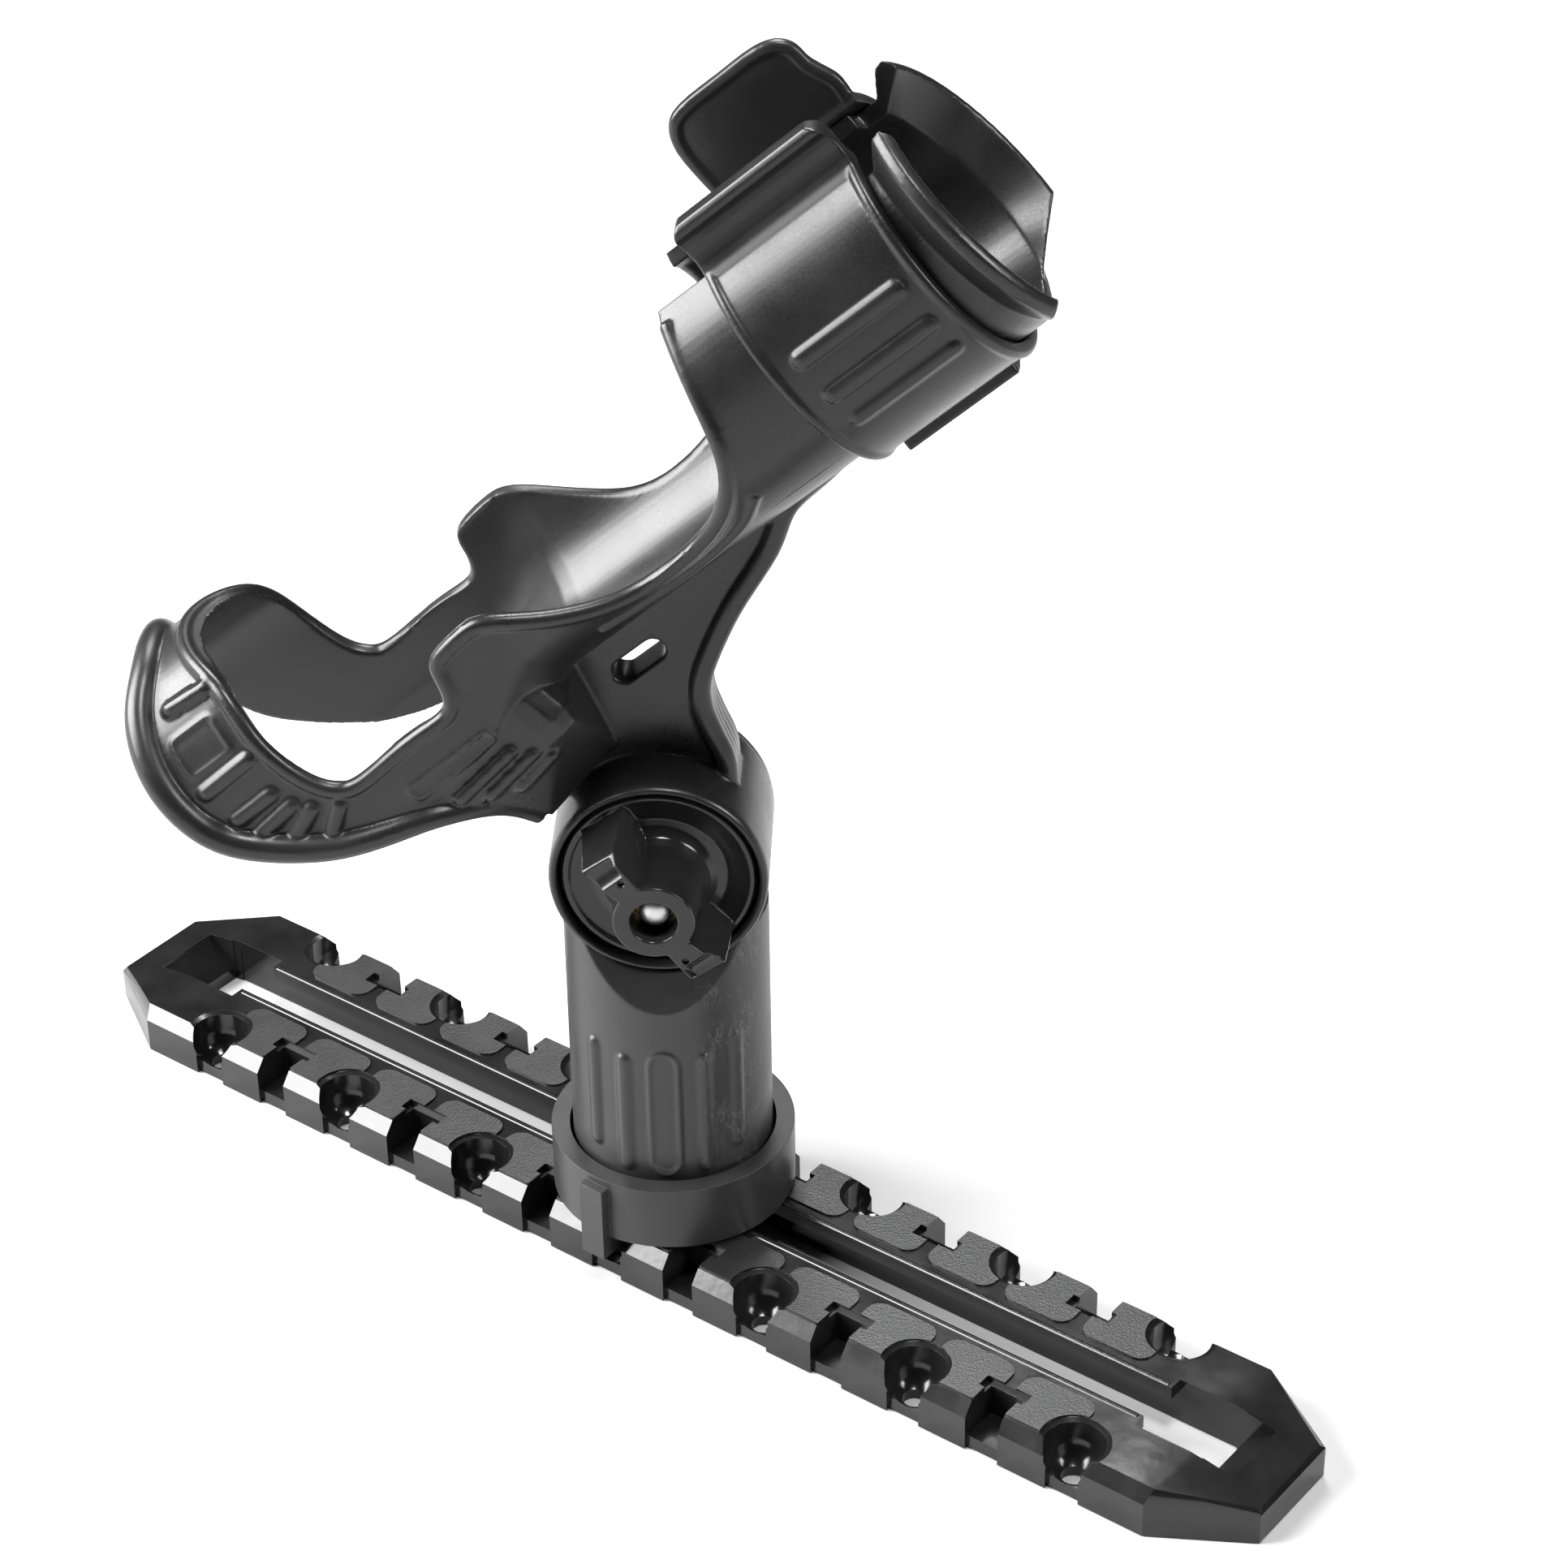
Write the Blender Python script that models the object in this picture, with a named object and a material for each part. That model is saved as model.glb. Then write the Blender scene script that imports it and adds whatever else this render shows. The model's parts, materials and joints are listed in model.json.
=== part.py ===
"""Track-mounted rod holder.

Frame: +X runs along the track, +Z is up, and the origin lies on the track's
underside, on the axis of the post. Lengths are in metres.

Three local frames hang from each other, as the joints do. The post frame turns
about +Z. In the cradle frame, +X is the direction of the rod, -Y is the knob's
side, and the origin is on the tilt axis. The collar frame is the cradle frame
moved up to the rod's axis.
"""
import math

import bmesh
import bpy
from mathutils import Matrix

MM = 0.001
GAP = 0.3 * MM                      # clearance between pieces that only touch

# Driving dimensions
PITCH = 38.1 * MM                   # screw-hole pitch of the track
HOLES_EACH_WAY = 3                  # screw holes on each side of the middle one
RAIL_LENGTH = 304.6 * MM
RAIL_WIDTH = 47.2 * MM
RAIL_HEIGHT = 11.0 * MM
SLOT_HALF = 5.0 * MM                # half the width between the slot's lips
POST_RADIUS = 20.9 * MM
POST_AZIMUTH = math.radians(35.0)   # turn of the post about +Z, as stored
AXIS_HEIGHT = 97.7 * MM             # tilt axis above the track's underside
TILT = math.radians(39.5)           # elevation of the rod, as stored
BARREL_RADIUS = 21.8 * MM
BARREL_FRONT = 17.5 * MM            # barrel's front face, from the post's axis
BARREL_BACK = 12.3 * MM             # barrel's back face, from the post's axis
ROD_HEIGHT = 69.0 * MM              # rod's axis above the tilt axis
TUBE_RADIUS = 26.0 * MM
WALL = 2.8 * MM
BOLT_RADIUS = 3.1 * MM

TAU = 2.0 * math.pi


# ---------------------------------------------------------------- mesh tools

def clear_scene():
    for obj in list(bpy.data.objects):
        bpy.data.objects.remove(obj)


def plastic(name, grey, roughness, metallic=0.0):
    """A Principled material of one grey, or of one metal colour."""
    material = bpy.data.materials.new(name)
    material.use_nodes = True
    shader = material.node_tree.nodes["Principled BSDF"]
    colour = grey if isinstance(grey, tuple) else (grey, grey, grey)
    shader.inputs["Base Color"].default_value = (*colour, 1.0)
    shader.inputs["Roughness"].default_value = roughness
    shader.inputs["Metallic"].default_value = metallic
    return material


def to_object(name, bm, parent=None, material=None):
    """Make an object from a bmesh, shade it smooth between its sharp edges."""
    bmesh.ops.recalc_face_normals(bm, faces=bm.faces)
    mesh = bpy.data.meshes.new(name)
    bm.to_mesh(mesh)
    bm.free()
    mesh.shade_smooth()
    mesh.set_sharp_from_angle(angle=math.radians(30))
    obj = bpy.data.objects.new(name, mesh)
    bpy.context.scene.collection.objects.link(obj)
    obj.parent = parent
    if material:
        mesh.materials.append(material)
    return obj


def prism(outline, low, high, axis="Z"):
    """Closed prism of a 2D outline between two levels along an axis.

    The outline is (x, y) along Z, (x, z) along Y and (y, z) along X.
    """
    place = {
        "X": lambda u, v, level: (level, u, v),
        "Y": lambda u, v, level: (u, level, v),
        "Z": lambda u, v, level: (u, v, level),
    }[axis]
    bm = bmesh.new()
    rings = []
    for level in (low, high):
        rings.append([bm.verts.new(place(u, v, level)) for u, v in outline])
    bm.faces.new(rings[0])
    bm.faces.new(rings[1])
    count = len(outline)
    for i in range(count):
        j = (i + 1) % count
        bm.faces.new((rings[0][i], rings[0][j], rings[1][j], rings[1][i]))
    return bm


def turned(profile, segments=48, axis="Z"):
    """Closed solid of a (radius, level) profile turned about an axis.

    A profile that starts and ends at radius 0 is capped with flat discs.
    """
    capped = profile[0][0] == 0
    rims = profile[1:-1] if capped else profile
    place = {
        "X": lambda u, v, level: (level, u, v),
        "Y": lambda u, v, level: (u, level, v),
        "Z": lambda u, v, level: (u, v, level),
    }[axis]
    bm = bmesh.new()
    columns = []
    for i in range(segments):
        u = math.cos(TAU * i / segments)
        v = math.sin(TAU * i / segments)
        columns.append([bm.verts.new(place(radius * u, radius * v, level)) for radius, level in rims])
    count = len(rims)
    for i in range(segments):
        here = columns[i]
        there = columns[(i + 1) % segments]
        for k in range(count - 1 if capped else count):
            m = (k + 1) % count
            bm.faces.new((here[k], here[m], there[m], there[k]))
    if capped:
        bm.faces.new([column[0] for column in columns])
        bm.faces.new([column[-1] for column in columns])
    return bm


def hull(points):
    bm = bmesh.new()
    for point in points:
        bm.verts.new(point)
    bmesh.ops.convex_hull(bm, input=bm.verts)
    return bm


def block(low, high):
    outline = [(low[0], low[1]), (high[0], low[1]), (high[0], high[1]), (low[0], high[1])]
    return prism(outline, low[2], high[2])


def weld(mesh):
    """Join vertices that lie within a micrometre of each other."""
    bm = bmesh.new()
    bm.from_mesh(mesh)
    bmesh.ops.remove_doubles(bm, verts=bm.verts, dist=0.001 * MM)
    bm.to_mesh(mesh)
    bm.free()


def combine(target, bm, operation):
    """Boolean a bmesh, given in the target's own frame, into the target."""
    tool = to_object("tool", bm)
    tool.parent = target.parent
    modifier = target.modifiers.new(operation, "BOOLEAN")
    modifier.operation = operation
    modifier.object = tool
    bpy.context.view_layer.update()
    graph = bpy.context.evaluated_depsgraph_get()
    result = bpy.data.meshes.new_from_object(target.evaluated_get(graph))
    target.modifiers.remove(modifier)
    target.data = result
    bpy.data.objects.remove(tool)
    weld(result)


def cut(target, bm):
    combine(target, bm, "DIFFERENCE")


def join(target, bm):
    combine(target, bm, "UNION")


def finish_shading(obj):
    obj.data.shade_smooth()
    obj.data.set_sharp_from_angle(angle=math.radians(30))


def arc(centre, radius, start, end, steps):
    """Points of an arc, from one angle to another in degrees."""
    points = []
    for i in range(steps + 1):
        angle = math.radians(start + (end - start) * i / steps)
        points.append((centre[0] + radius * math.cos(angle), centre[1] + radius * math.sin(angle)))
    return points


def scaled(points):
    return [(u * MM, v * MM) for u, v in points]


def ring_profile(inner, outer, low, high):
    return [(inner, low), (outer, low), (outer, high), (inner, high)]


def pin(radius, low, high, segments=24, axis="Z"):
    """Plain cylinder about an axis."""
    return turned([(0, low), (radius, low), (radius, high), (0, high)], segments, axis)


def hexagon(radius):
    return [(radius * math.cos(TAU * i / 6), radius * math.sin(TAU * i / 6)) for i in range(6)]


def coil(radius, wire, low, high, turns, steps_per_turn, sides):
    """Helical spring about +Z, closed at both ends."""
    bm = bmesh.new()
    rings = []
    count = int(turns * steps_per_turn)
    for i in range(count + 1):
        angle = TAU * i / steps_per_turn
        level = low + wire + (high - low - 2 * wire) * i / count
        ring = []
        for k in range(sides):
            phase = TAU * k / sides
            r = radius + wire * math.cos(phase)
            z = level + wire * math.sin(phase)
            ring.append(bm.verts.new((r * math.cos(angle), r * math.sin(angle), z)))
        rings.append(ring)
    for i in range(count):
        for k in range(sides):
            m = (k + 1) % sides
            bm.faces.new((rings[i][k], rings[i][m], rings[i + 1][m], rings[i + 1][k]))
    bm.faces.new(rings[0])
    bm.faces.new(rings[-1])
    return bm


def frame_empty(name, parent, matrix):
    empty = bpy.data.objects.new(name, None)
    bpy.context.scene.collection.objects.link(empty)
    empty.parent = parent
    empty.matrix_local = matrix
    return empty


# --------------------------------------------------------------------- track

LIP_UNDERSIDE = 8.0 * MM            # the slot's lips are the 3 mm above this
UNDERCUT_HALF = 8.6 * MM
TIE_HALF = 8.0 * MM                 # half the length of the tie under the post
TIE_HEIGHT = 2.0 * MM
LAND_EDGE = 21.3 * MM               # half the width of the flat top
BEVEL_DROP = 3.0 * MM
NOTCH_FLOOR = 3.0 * MM              # level of the floors of holes and notches
NOTCH_HALF = 3.87 * MM
NOTCH_WALL = 14.5 * MM
HOLE_CENTRE = 19.2 * MM
COUNTERBORE = 6.2 * MM
SCREW_BORE = 2.6 * MM


def track_body():
    """The track's block: chamfered in plan, bevelled on top, ramped at its ends."""
    end = RAIL_LENGTH / 2
    side = RAIL_WIDTH / 2
    shoulder = end - 19.3 * MM
    nose = 12.0 * MM
    bevel_level = RAIL_HEIGHT - BEVEL_DROP
    points = []
    for sx in (-1, 1):
        for sy in (-1, 1):
            points.append((sx * shoulder, sy * side, 0.0))
            points.append((sx * end, sy * nose, 0.0))
            points.append((sx * shoulder, sy * side, bevel_level))
            points.append((sx * end, sy * nose, bevel_level - 1.0 * MM))
            points.append((sx * (shoulder + 1.0 * MM), sy * LAND_EDGE, RAIL_HEIGHT))
            points.append((sx * (end - 0.8 * MM), sy * (nose - 1.0 * MM), bevel_level))
    return hull(points)


def cut_slot(rail):
    """T-slot, open below, with a loading port and a ramp at each end."""
    below = -1.0 * MM
    above = RAIL_HEIGHT + 1.0 * MM
    port_start = 121.0 * MM
    port_end = 136.5 * MM
    port_half = 8.3 * MM
    ramp_end = 143.5 * MM
    slot_end = port_end - 2.0 * MM
    cut(rail, block((-slot_end, -SLOT_HALF, LIP_UNDERSIDE - 0.5 * MM), (slot_end, SLOT_HALF, above)))
    undercut = [
        (-slot_end, below), (-TIE_HALF, below), (-TIE_HALF, TIE_HEIGHT), (TIE_HALF, TIE_HEIGHT),
        (TIE_HALF, below), (slot_end, below), (slot_end, LIP_UNDERSIDE), (-slot_end, LIP_UNDERSIDE),
    ]
    cut(rail, prism(undercut, -UNDERCUT_HALF, UNDERCUT_HALF, "Y"))
    for sign in (-1, 1):
        near, far = sorted((sign * port_start, sign * port_end))
        cut(rail, block((near, -port_half, below), (far, port_half, above)))
        ramp = [
            (sign * (port_end - 1.0 * MM), 2.4 * MM),
            (sign * ramp_end, 8.6 * MM),
            (sign * ramp_end, above),
            (sign * (port_end - 1.0 * MM), above),
        ]
        cut(rail, prism(ramp, -port_half + 0.3 * MM, port_half - 0.3 * MM, "Y"))


def cut_edges(rail):
    """Counterbored screw holes and, between them, square index notches."""
    above = RAIL_HEIGHT + 1.0 * MM
    outside = RAIL_WIDTH / 2 + 1.0 * MM
    for sign in (-1, 1):
        for k in range(-HOLES_EACH_WAY, HOLES_EACH_WAY + 1):
            place = Matrix.Translation((k * PITCH, sign * HOLE_CENTRE, 0.0))
            bore = pin(COUNTERBORE, NOTCH_FLOOR, above)
            bore.transform(place)
            cut(rail, bore)
            screw = pin(SCREW_BORE, -MM, above, 12)
            screw.transform(place)
            cut(rail, screw)
            inner, outer = sorted((sign * HOLE_CENTRE, sign * outside))
            low = NOTCH_FLOOR + 0.2 * MM
            cut(rail, block((k * PITCH - NOTCH_HALF, inner, low), (k * PITCH + NOTCH_HALF, outer, above)))
        for k in range(-HOLES_EACH_WAY, HOLES_EACH_WAY):
            x = (k + 0.5) * PITCH
            inner, outer = sorted((sign * NOTCH_WALL, sign * outside))
            cut(rail, block((x - NOTCH_HALF, inner, NOTCH_FLOOR), (x + NOTCH_HALF, outer, above)))


def make_track(material):
    rail = to_object("track_rail", track_body(), None, material)
    cut_slot(rail)
    cut_edges(rail)
    finish_shading(rail)


# ---------------------------------------------------------------------- base

RING_OUTER = 25.5 * MM
RING_INNER = 21.6 * MM
RING_TOP = 26.6 * MM
RING_BOTTOM = 12.2 * MM
BASE_FLOOR = 15.5 * MM
HUB_RADIUS = 11.0 * MM
HUB_BORE = 8.2 * MM
HUB_TOP = 37.5 * MM
CLIP_LOW = 34.3 * MM
CLIP_HIGH = 36.1 * MM
CLIP_GROOVE = 10.1 * MM
STUD_TOP = 35.0 * MM


def make_track_bolt(material):
    """Track bolt: an oblong head under the slot's lips and a stud."""
    head_low, head_high = 4.2 * MM, LIP_UNDERSIDE - GAP
    head = block((-10 * MM, -7.4 * MM, head_low), (10 * MM, 7.4 * MM, head_high))
    bolt = to_object("track_bolt", head, None, material)
    stud = turned([(0, head_high - MM), (BOLT_RADIUS, head_high - MM), (BOLT_RADIUS, STUD_TOP - MM),
                   (BOLT_RADIUS - MM, STUD_TOP), (0, STUD_TOP)], 24)
    join(bolt, stud)
    finish_shading(bolt)


def make_base_ring(material):
    """Base cup: ring wall, floor, hollow hub, foot pad and two index tabs."""
    rim = 1.2 * MM
    profile = [
        (BOLT_RADIUS + GAP, RAIL_HEIGHT + GAP),
        (14.0 * MM, RAIL_HEIGHT + GAP),
        (14.0 * MM, RING_BOTTOM),
        (RING_OUTER - 0.6 * MM, RING_BOTTOM),
        (RING_OUTER, RING_BOTTOM + 0.6 * MM),
        (RING_OUTER, RING_TOP - rim),
        (RING_OUTER - rim, RING_TOP),
        (RING_INNER + 0.6 * MM, RING_TOP),
        (RING_INNER, RING_TOP - 0.6 * MM),
        (RING_INNER, BASE_FLOOR),
        (HUB_RADIUS, BASE_FLOOR),
        (HUB_RADIUS, CLIP_LOW),
        (CLIP_GROOVE, CLIP_LOW),
        (CLIP_GROOVE, CLIP_HIGH),
        (HUB_RADIUS, CLIP_HIGH),
        (HUB_RADIUS, HUB_TOP),
        (HUB_BORE, HUB_TOP),
        (HUB_BORE, BASE_FLOOR),
        (BOLT_RADIUS + GAP, BASE_FLOOR),
    ]
    ring = to_object("base_ring", turned(profile, 72), None, material)
    tab_half = 2.9 * MM
    tab_foot = 7.5 * MM
    for sign in (-1, 1):
        inner, outer = sorted((sign * 24.2 * MM, sign * 27.6 * MM))
        join(ring, block((-tab_half, inner, tab_foot), (tab_half, outer, RING_TOP - rim)))
        inner, outer = sorted((sign * 15.6 * MM, sign * 26.0 * MM))
        key_half, key_foot = tab_half - 0.2 * MM, tab_foot + 0.2 * MM
        join(ring, block((-key_half, inner, key_foot), (key_half, outer, 13 * MM)))
    finish_shading(ring)


def make_base_fasteners(steel):
    washer_low = BASE_FLOOR + GAP
    washer_high = washer_low + 1.4 * MM
    bore = BOLT_RADIUS + 0.2 * MM
    to_object("base_washer", turned(ring_profile(bore, 7.4 * MM, washer_low, washer_high), 32), None, steel)
    nut_low = washer_high + GAP
    nut_high = nut_low + 5.2 * MM
    nut = to_object("base_nut", prism(hexagon(5.9 * MM), nut_low, nut_high), None, steel)
    cut(nut, pin(bore, nut_low - MM, nut_high + MM))


def make_index_ring(material):
    """Ring of 24 detent notches on the floor of the base cup."""
    notches = 24
    inner, outer = 12.0 * MM, 17.0 * MM
    low, high = BASE_FLOOR + GAP, BASE_FLOOR + 2.6 * MM
    depth = 1.0 * MM
    bm = bmesh.new()
    columns = []
    for i in range(2 * notches):
        angle = TAU * (i + 0.5) / (2 * notches)
        top = high - depth if i % 4 in (0, 3) else high
        c, s = math.cos(angle), math.sin(angle)
        levels = ((inner, low), (outer, low), (outer, top), (inner, top))
        columns.append([bm.verts.new((r * c, r * s, z)) for r, z in levels])
    for i in range(len(columns)):
        here, there = columns[i], columns[(i + 1) % len(columns)]
        for k in range(4):
            m = (k + 1) % 4
            bm.faces.new((here[k], here[m], there[m], there[k]))
    to_object("index_ring", bm, None, material)


def make_snap_ring(steel):
    """Split retaining ring in the hub's groove."""
    inner, outer = CLIP_GROOVE + GAP, 12.9 * MM
    half_gap = 9.0
    outside = arc((0, 0), outer, half_gap, 360 - half_gap, 32)
    inside = arc((0, 0), inner, 360 - half_gap, half_gap, 32)
    to_object("snap_ring", prism(outside + inside, CLIP_LOW + GAP, CLIP_HIGH - GAP), None, steel)


# ---------------------------------------------------------------------- post

POST_BOTTOM = 16.0 * MM
CAVITY_RADIUS = 17.6 * MM
WEB_LOW = 29.5 * MM                 # web inside the post, held down by the snap ring
WEB_HIGH = CLIP_LOW - GAP
CAVITY_TOP = 62.0 * MM
SHOULDER_TOP = 83.0 * MM
PLUNGER_CIRCLE = 14.6 * MM
PLUNGER_RADIUS = 1.9 * MM
KNUCKLE_FRONT = BARREL_BACK + GAP
FACET_SLOPE = 1.85                  # rise of the front facet for each unit back
FACET_LEVEL = 106.6 * MM            # where the facet's plane meets the post's axis


def make_post(parent, material):
    """Post: hollow tube, saddle for the barrel, knuckle behind, facet in front."""
    r = POST_RADIUS
    profile = [
        (0, CAVITY_TOP), (CAVITY_RADIUS, CAVITY_TOP), (CAVITY_RADIUS, POST_BOTTOM),
        (r - 0.6 * MM, POST_BOTTOM), (r, POST_BOTTOM + 0.6 * MM), (r, SHOULDER_TOP), (0, SHOULDER_TOP),
    ]
    post = to_object("post_tube", turned(profile, 64), parent, material)
    join(post, turned(ring_profile(HUB_RADIUS + GAP, CAVITY_RADIUS + MM, WEB_LOW, WEB_HIGH), 48))
    back = [
        (0, KNUCKLE_FRONT - 2 * MM), (BARREL_RADIUS - GAP, KNUCKLE_FRONT - 2 * MM),
        (BARREL_RADIUS - GAP, KNUCKLE_FRONT), (BARREL_RADIUS - 1.6 * MM, 15.6 * MM),
        (19.4 * MM, 17.8 * MM), (17.4 * MM, 19.6 * MM), (15.0 * MM, 20.5 * MM), (0, 20.5 * MM),
    ]
    knuckle = turned(back, 48, "Y")
    knuckle.transform(Matrix.Translation((0, 0, AXIS_HEIGHT)))
    join(post, knuckle)
    cheek = [(-19.0, 76.0), (19.0, 76.0), (19.5, 97.7), (-19.5, 97.7)]
    join(post, prism(scaled(cheek), KNUCKLE_FRONT - MM, 17.0 * MM, "Y"))
    saddle = pin(BARREL_RADIUS + 2 * GAP, -30 * MM, KNUCKLE_FRONT, 64, "Y")
    saddle.transform(Matrix.Translation((0, 0, AXIS_HEIGHT)))
    cut(post, saddle)
    low, high = 60.0 * MM, 100.0 * MM
    facet = [
        (-(FACET_LEVEL - low) / FACET_SLOPE, low), (-40 * MM, low),
        (-40 * MM, high), (-(FACET_LEVEL - high) / FACET_SLOPE, high),
    ]
    cut(post, prism(facet, -40 * MM, 40 * MM, "X"))
    bolt_way = pin(BOLT_RADIUS + 0.2 * MM, 5 * MM, 30 * MM, 24, "Y")
    bolt_way.transform(Matrix.Translation((0, 0, AXIS_HEIGHT)))
    cut(post, bolt_way)
    pocket = prism(hexagon(6.0 * MM), 16.4 * MM, 30 * MM, "Y")
    pocket.transform(Matrix.Translation((0, 0, AXIS_HEIGHT)))
    cut(post, pocket)
    for sign in (-1, 1):
        way = pin(PLUNGER_RADIUS + 0.15 * MM, POST_BOTTOM, WEB_HIGH + MM, 16)
        way.transform(Matrix.Translation((sign * PLUNGER_CIRCLE, 0, 0)))
        cut(post, way)
    finish_shading(post)


def make_plungers(parent, steel, spring_steel):
    """Two detent plungers that ride on the index ring, and their springs."""
    tip = BASE_FLOOR + 2.6 * MM + GAP
    collar_low, collar_high = tip + 2.0 * MM, tip + 3.6 * MM
    top = WEB_HIGH + 3.3 * MM
    profile = [
        (0, tip), (1.0 * MM, tip), (PLUNGER_RADIUS, tip + 1.0 * MM), (PLUNGER_RADIUS, collar_low),
        (2.9 * MM, collar_low), (2.9 * MM, collar_high), (1.5 * MM, collar_high), (1.5 * MM, top), (0, top),
    ]
    for number, sign in ((1, -1), (2, 1)):
        place = Matrix.Translation((sign * PLUNGER_CIRCLE, 0, 0))
        plunger = turned(profile, 16)
        plunger.transform(place)
        to_object(f"detent_plunger_{number}", plunger, parent, steel)
        spring = coil(2.3 * MM, 0.28 * MM, collar_high + 0.6 * MM, WEB_LOW - 0.6 * MM, 3.5, 10, 5)
        spring.transform(place)
        to_object(f"detent_spring_{number}", spring, parent, spring_steel)


# -------------------------------------------------------- tilt joint fittings

KNOB_FLOOR = 6.5 * MM               # depth of the barrel's dish, from the post's axis
BOLT_HEAD = 17.0 * MM


def make_tilt_bolt(parent, steel):
    """Through bolt: hexagon head in the knuckle, threaded end in the knob."""
    tip = -28.8 * MM
    head = prism(hexagon(5.7 * MM), BOLT_HEAD + 0.2 * MM, BOLT_HEAD + 3.2 * MM, "Y")
    bolt = to_object("tilt_bolt", head, parent, steel)
    shank = turned([(0, tip), (BOLT_RADIUS - 0.5 * MM, tip), (BOLT_RADIUS, tip + 0.5 * MM),
                    (BOLT_RADIUS, BOLT_HEAD + MM), (0, BOLT_HEAD + MM)], 24, "Y")
    join(bolt, shank)
    finish_shading(bolt)


def make_tilt_rings(parent, material, steel, spring_steel):
    """Friction washer, spring and knob washer along the tilt axis."""
    bore = BOLT_RADIUS + 0.2 * MM
    seat = 6.9 * MM
    washer = ring_profile(bore, seat, BARREL_BACK - 1.6 * MM, BARREL_BACK - GAP)
    to_object("knuckle_washer", turned(washer, 32, "Y"), parent, material)
    spring = coil(5.2 * MM, 0.45 * MM, 0.0, BARREL_BACK - 6.2 * MM, 3.5, 12, 6)
    face_back = Matrix.Rotation(math.radians(90), 4, "X")
    spring.transform(Matrix.Translation((0, BARREL_BACK - 2.2 * MM, 0)) @ face_back)
    to_object("separator_spring", spring, parent, spring_steel)
    washer = ring_profile(bore, 7.5 * MM, -KNOB_FLOOR - 1.5 * MM, -KNOB_FLOOR - GAP)
    to_object("knob_washer", turned(washer, 32, "Y"), parent, steel)


# -------------------------------------------------------------------- cradle

SECTION_POINTS = 44
TUBE_END = 133 * MM
MOUTH_SLOPE = 0.12                  # lean of the mouth, out at the bottom


def smooth(t):
    t = max(0.0, min(1.0, t))
    return t * t * (3.0 - 2.0 * t)


def section(x, inset):
    """Closed cross-section of the cradle's shell at x, as (y, z) points.

    Behind the trough its lower half is nearly square, where two straps leave
    the keel; everywhere else it is round.
    """
    t = smooth((x + 25 * MM) / (45 * MM))
    half = TUBE_RADIUS + 0.4 * MM * (1 - t) - inset
    centre = ROD_HEIGHT + 1.2 * MM * (1 - t)
    rise = TUBE_RADIUS - 0.8 * MM * (1 - t) - inset
    drop = TUBE_RADIUS + 4.6 * MM * (1 - t) - inset
    power = 8.0 * (1 - t) + 2.0 * t
    points = []
    for i in range(SECTION_POINTS):
        angle = TAU * i / SECTION_POINTS
        c, s = math.cos(angle), math.sin(angle)
        if s >= 0:
            points.append((half * c, centre + rise * s))
        else:
            points.append((
                half * math.copysign(abs(c) ** (2 / power), c),
                centre - drop * abs(s) ** (2 / power),
            ))
    return points


def shell_solid(start, end, step, inset):
    """Loft of the cross-sections between two stations, capped at both ends."""
    bm = bmesh.new()
    count = max(1, round((end - start) / step))
    rings = []
    for i in range(count + 1):
        x = start + (end - start) * i / count
        rings.append([bm.verts.new((x, y, z)) for y, z in section(x, inset)])
    for i in range(count):
        for k in range(SECTION_POINTS):
            m = (k + 1) % SECTION_POINTS
            bm.faces.new((rings[i][k], rings[i][m], rings[i + 1][m], rings[i + 1][k]))
    bm.faces.new(rings[0])
    bm.faces.new(rings[-1])
    return bm


# Side view of the opening over the trough, front to back
TOP_WINDOW = [
    (87, 112), (80, 93), (77.5, 80), (75, 70), (71.5, 63.5), (66, 58.2), (59, 55.2), (51, 54),
    (44, 54), (37.5, 55.6), (32, 58.6), (26.5, 62.4), (20.5, 67.4), (17, 69.6), (13.5, 70.4),
    (5.5, 69.4), (2.6, 67.4), (1.2, 62.6), (-0.6, 59.6), (-3.5, 58.6), (-12, 59.2), (-25, 57.9),
    (-28.6, 59.2), (-31.2, 62.2), (-32.9, 67.6), (-33.8, 75), (-33.6, 81.4), (-34, 86.5),
    (-36, 90.5), (-39, 94), (-41, 98), (-41, 112),
]
# Side view of the strap's back and lower edge, top to bottom, closed behind it
REAR_OUTLINE = [
    (-50.5, 112), (-51.5, 98), (-54.5, 95), (-57, 91), (-58.8, 85), (-59.5, 77.5), (-58.8, 67.5),
    (-54.8, 59.8), (-47.2, 52.4), (-39, 46.6), (-30.7, 43), (-24.8, 41.4), (-17.3, 39.3),
    (-12, 35.2), (-8.5, 29.8), (-7, 20), (-7, 10), (-80, 10), (-80, 112),
]


def make_cradle(parent, material):
    """One moulding: rear strap, trough, front tube, keel and tilt barrel."""
    cradle = to_object("cradle", shell_solid(-62 * MM, TUBE_END, 9 * MM, 0.0), parent, material)
    add_lips(cradle)
    add_gusset(cradle)
    cut(cradle, shell_solid(-70 * MM, 150 * MM, 9 * MM, WALL))
    cut(cradle, prism(scaled(TOP_WINDOW), -45 * MM, 45 * MM, "Y"))
    add_keel(cradle)
    cut(cradle, prism(scaled(REAR_OUTLINE), -45 * MM, 45 * MM, "Y"))
    cut(cradle, block((-65 * MM, -22.8 * MM, 37 * MM), (-8 * MM, 22.8 * MM, 55 * MM)))
    gap_half = 12.0 * MM
    cut(cradle, block((70 * MM, -gap_half, 80 * MM), (150 * MM, gap_half, 110 * MM)))
    add_barrel(cradle)
    finish_shading(cradle)


def lean(bm):
    """Shear a solid along the rod, as the mouth of the tube leans."""
    for vert in bm.verts:
        vert.co.x -= MOUTH_SLOPE * vert.co.z


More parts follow.
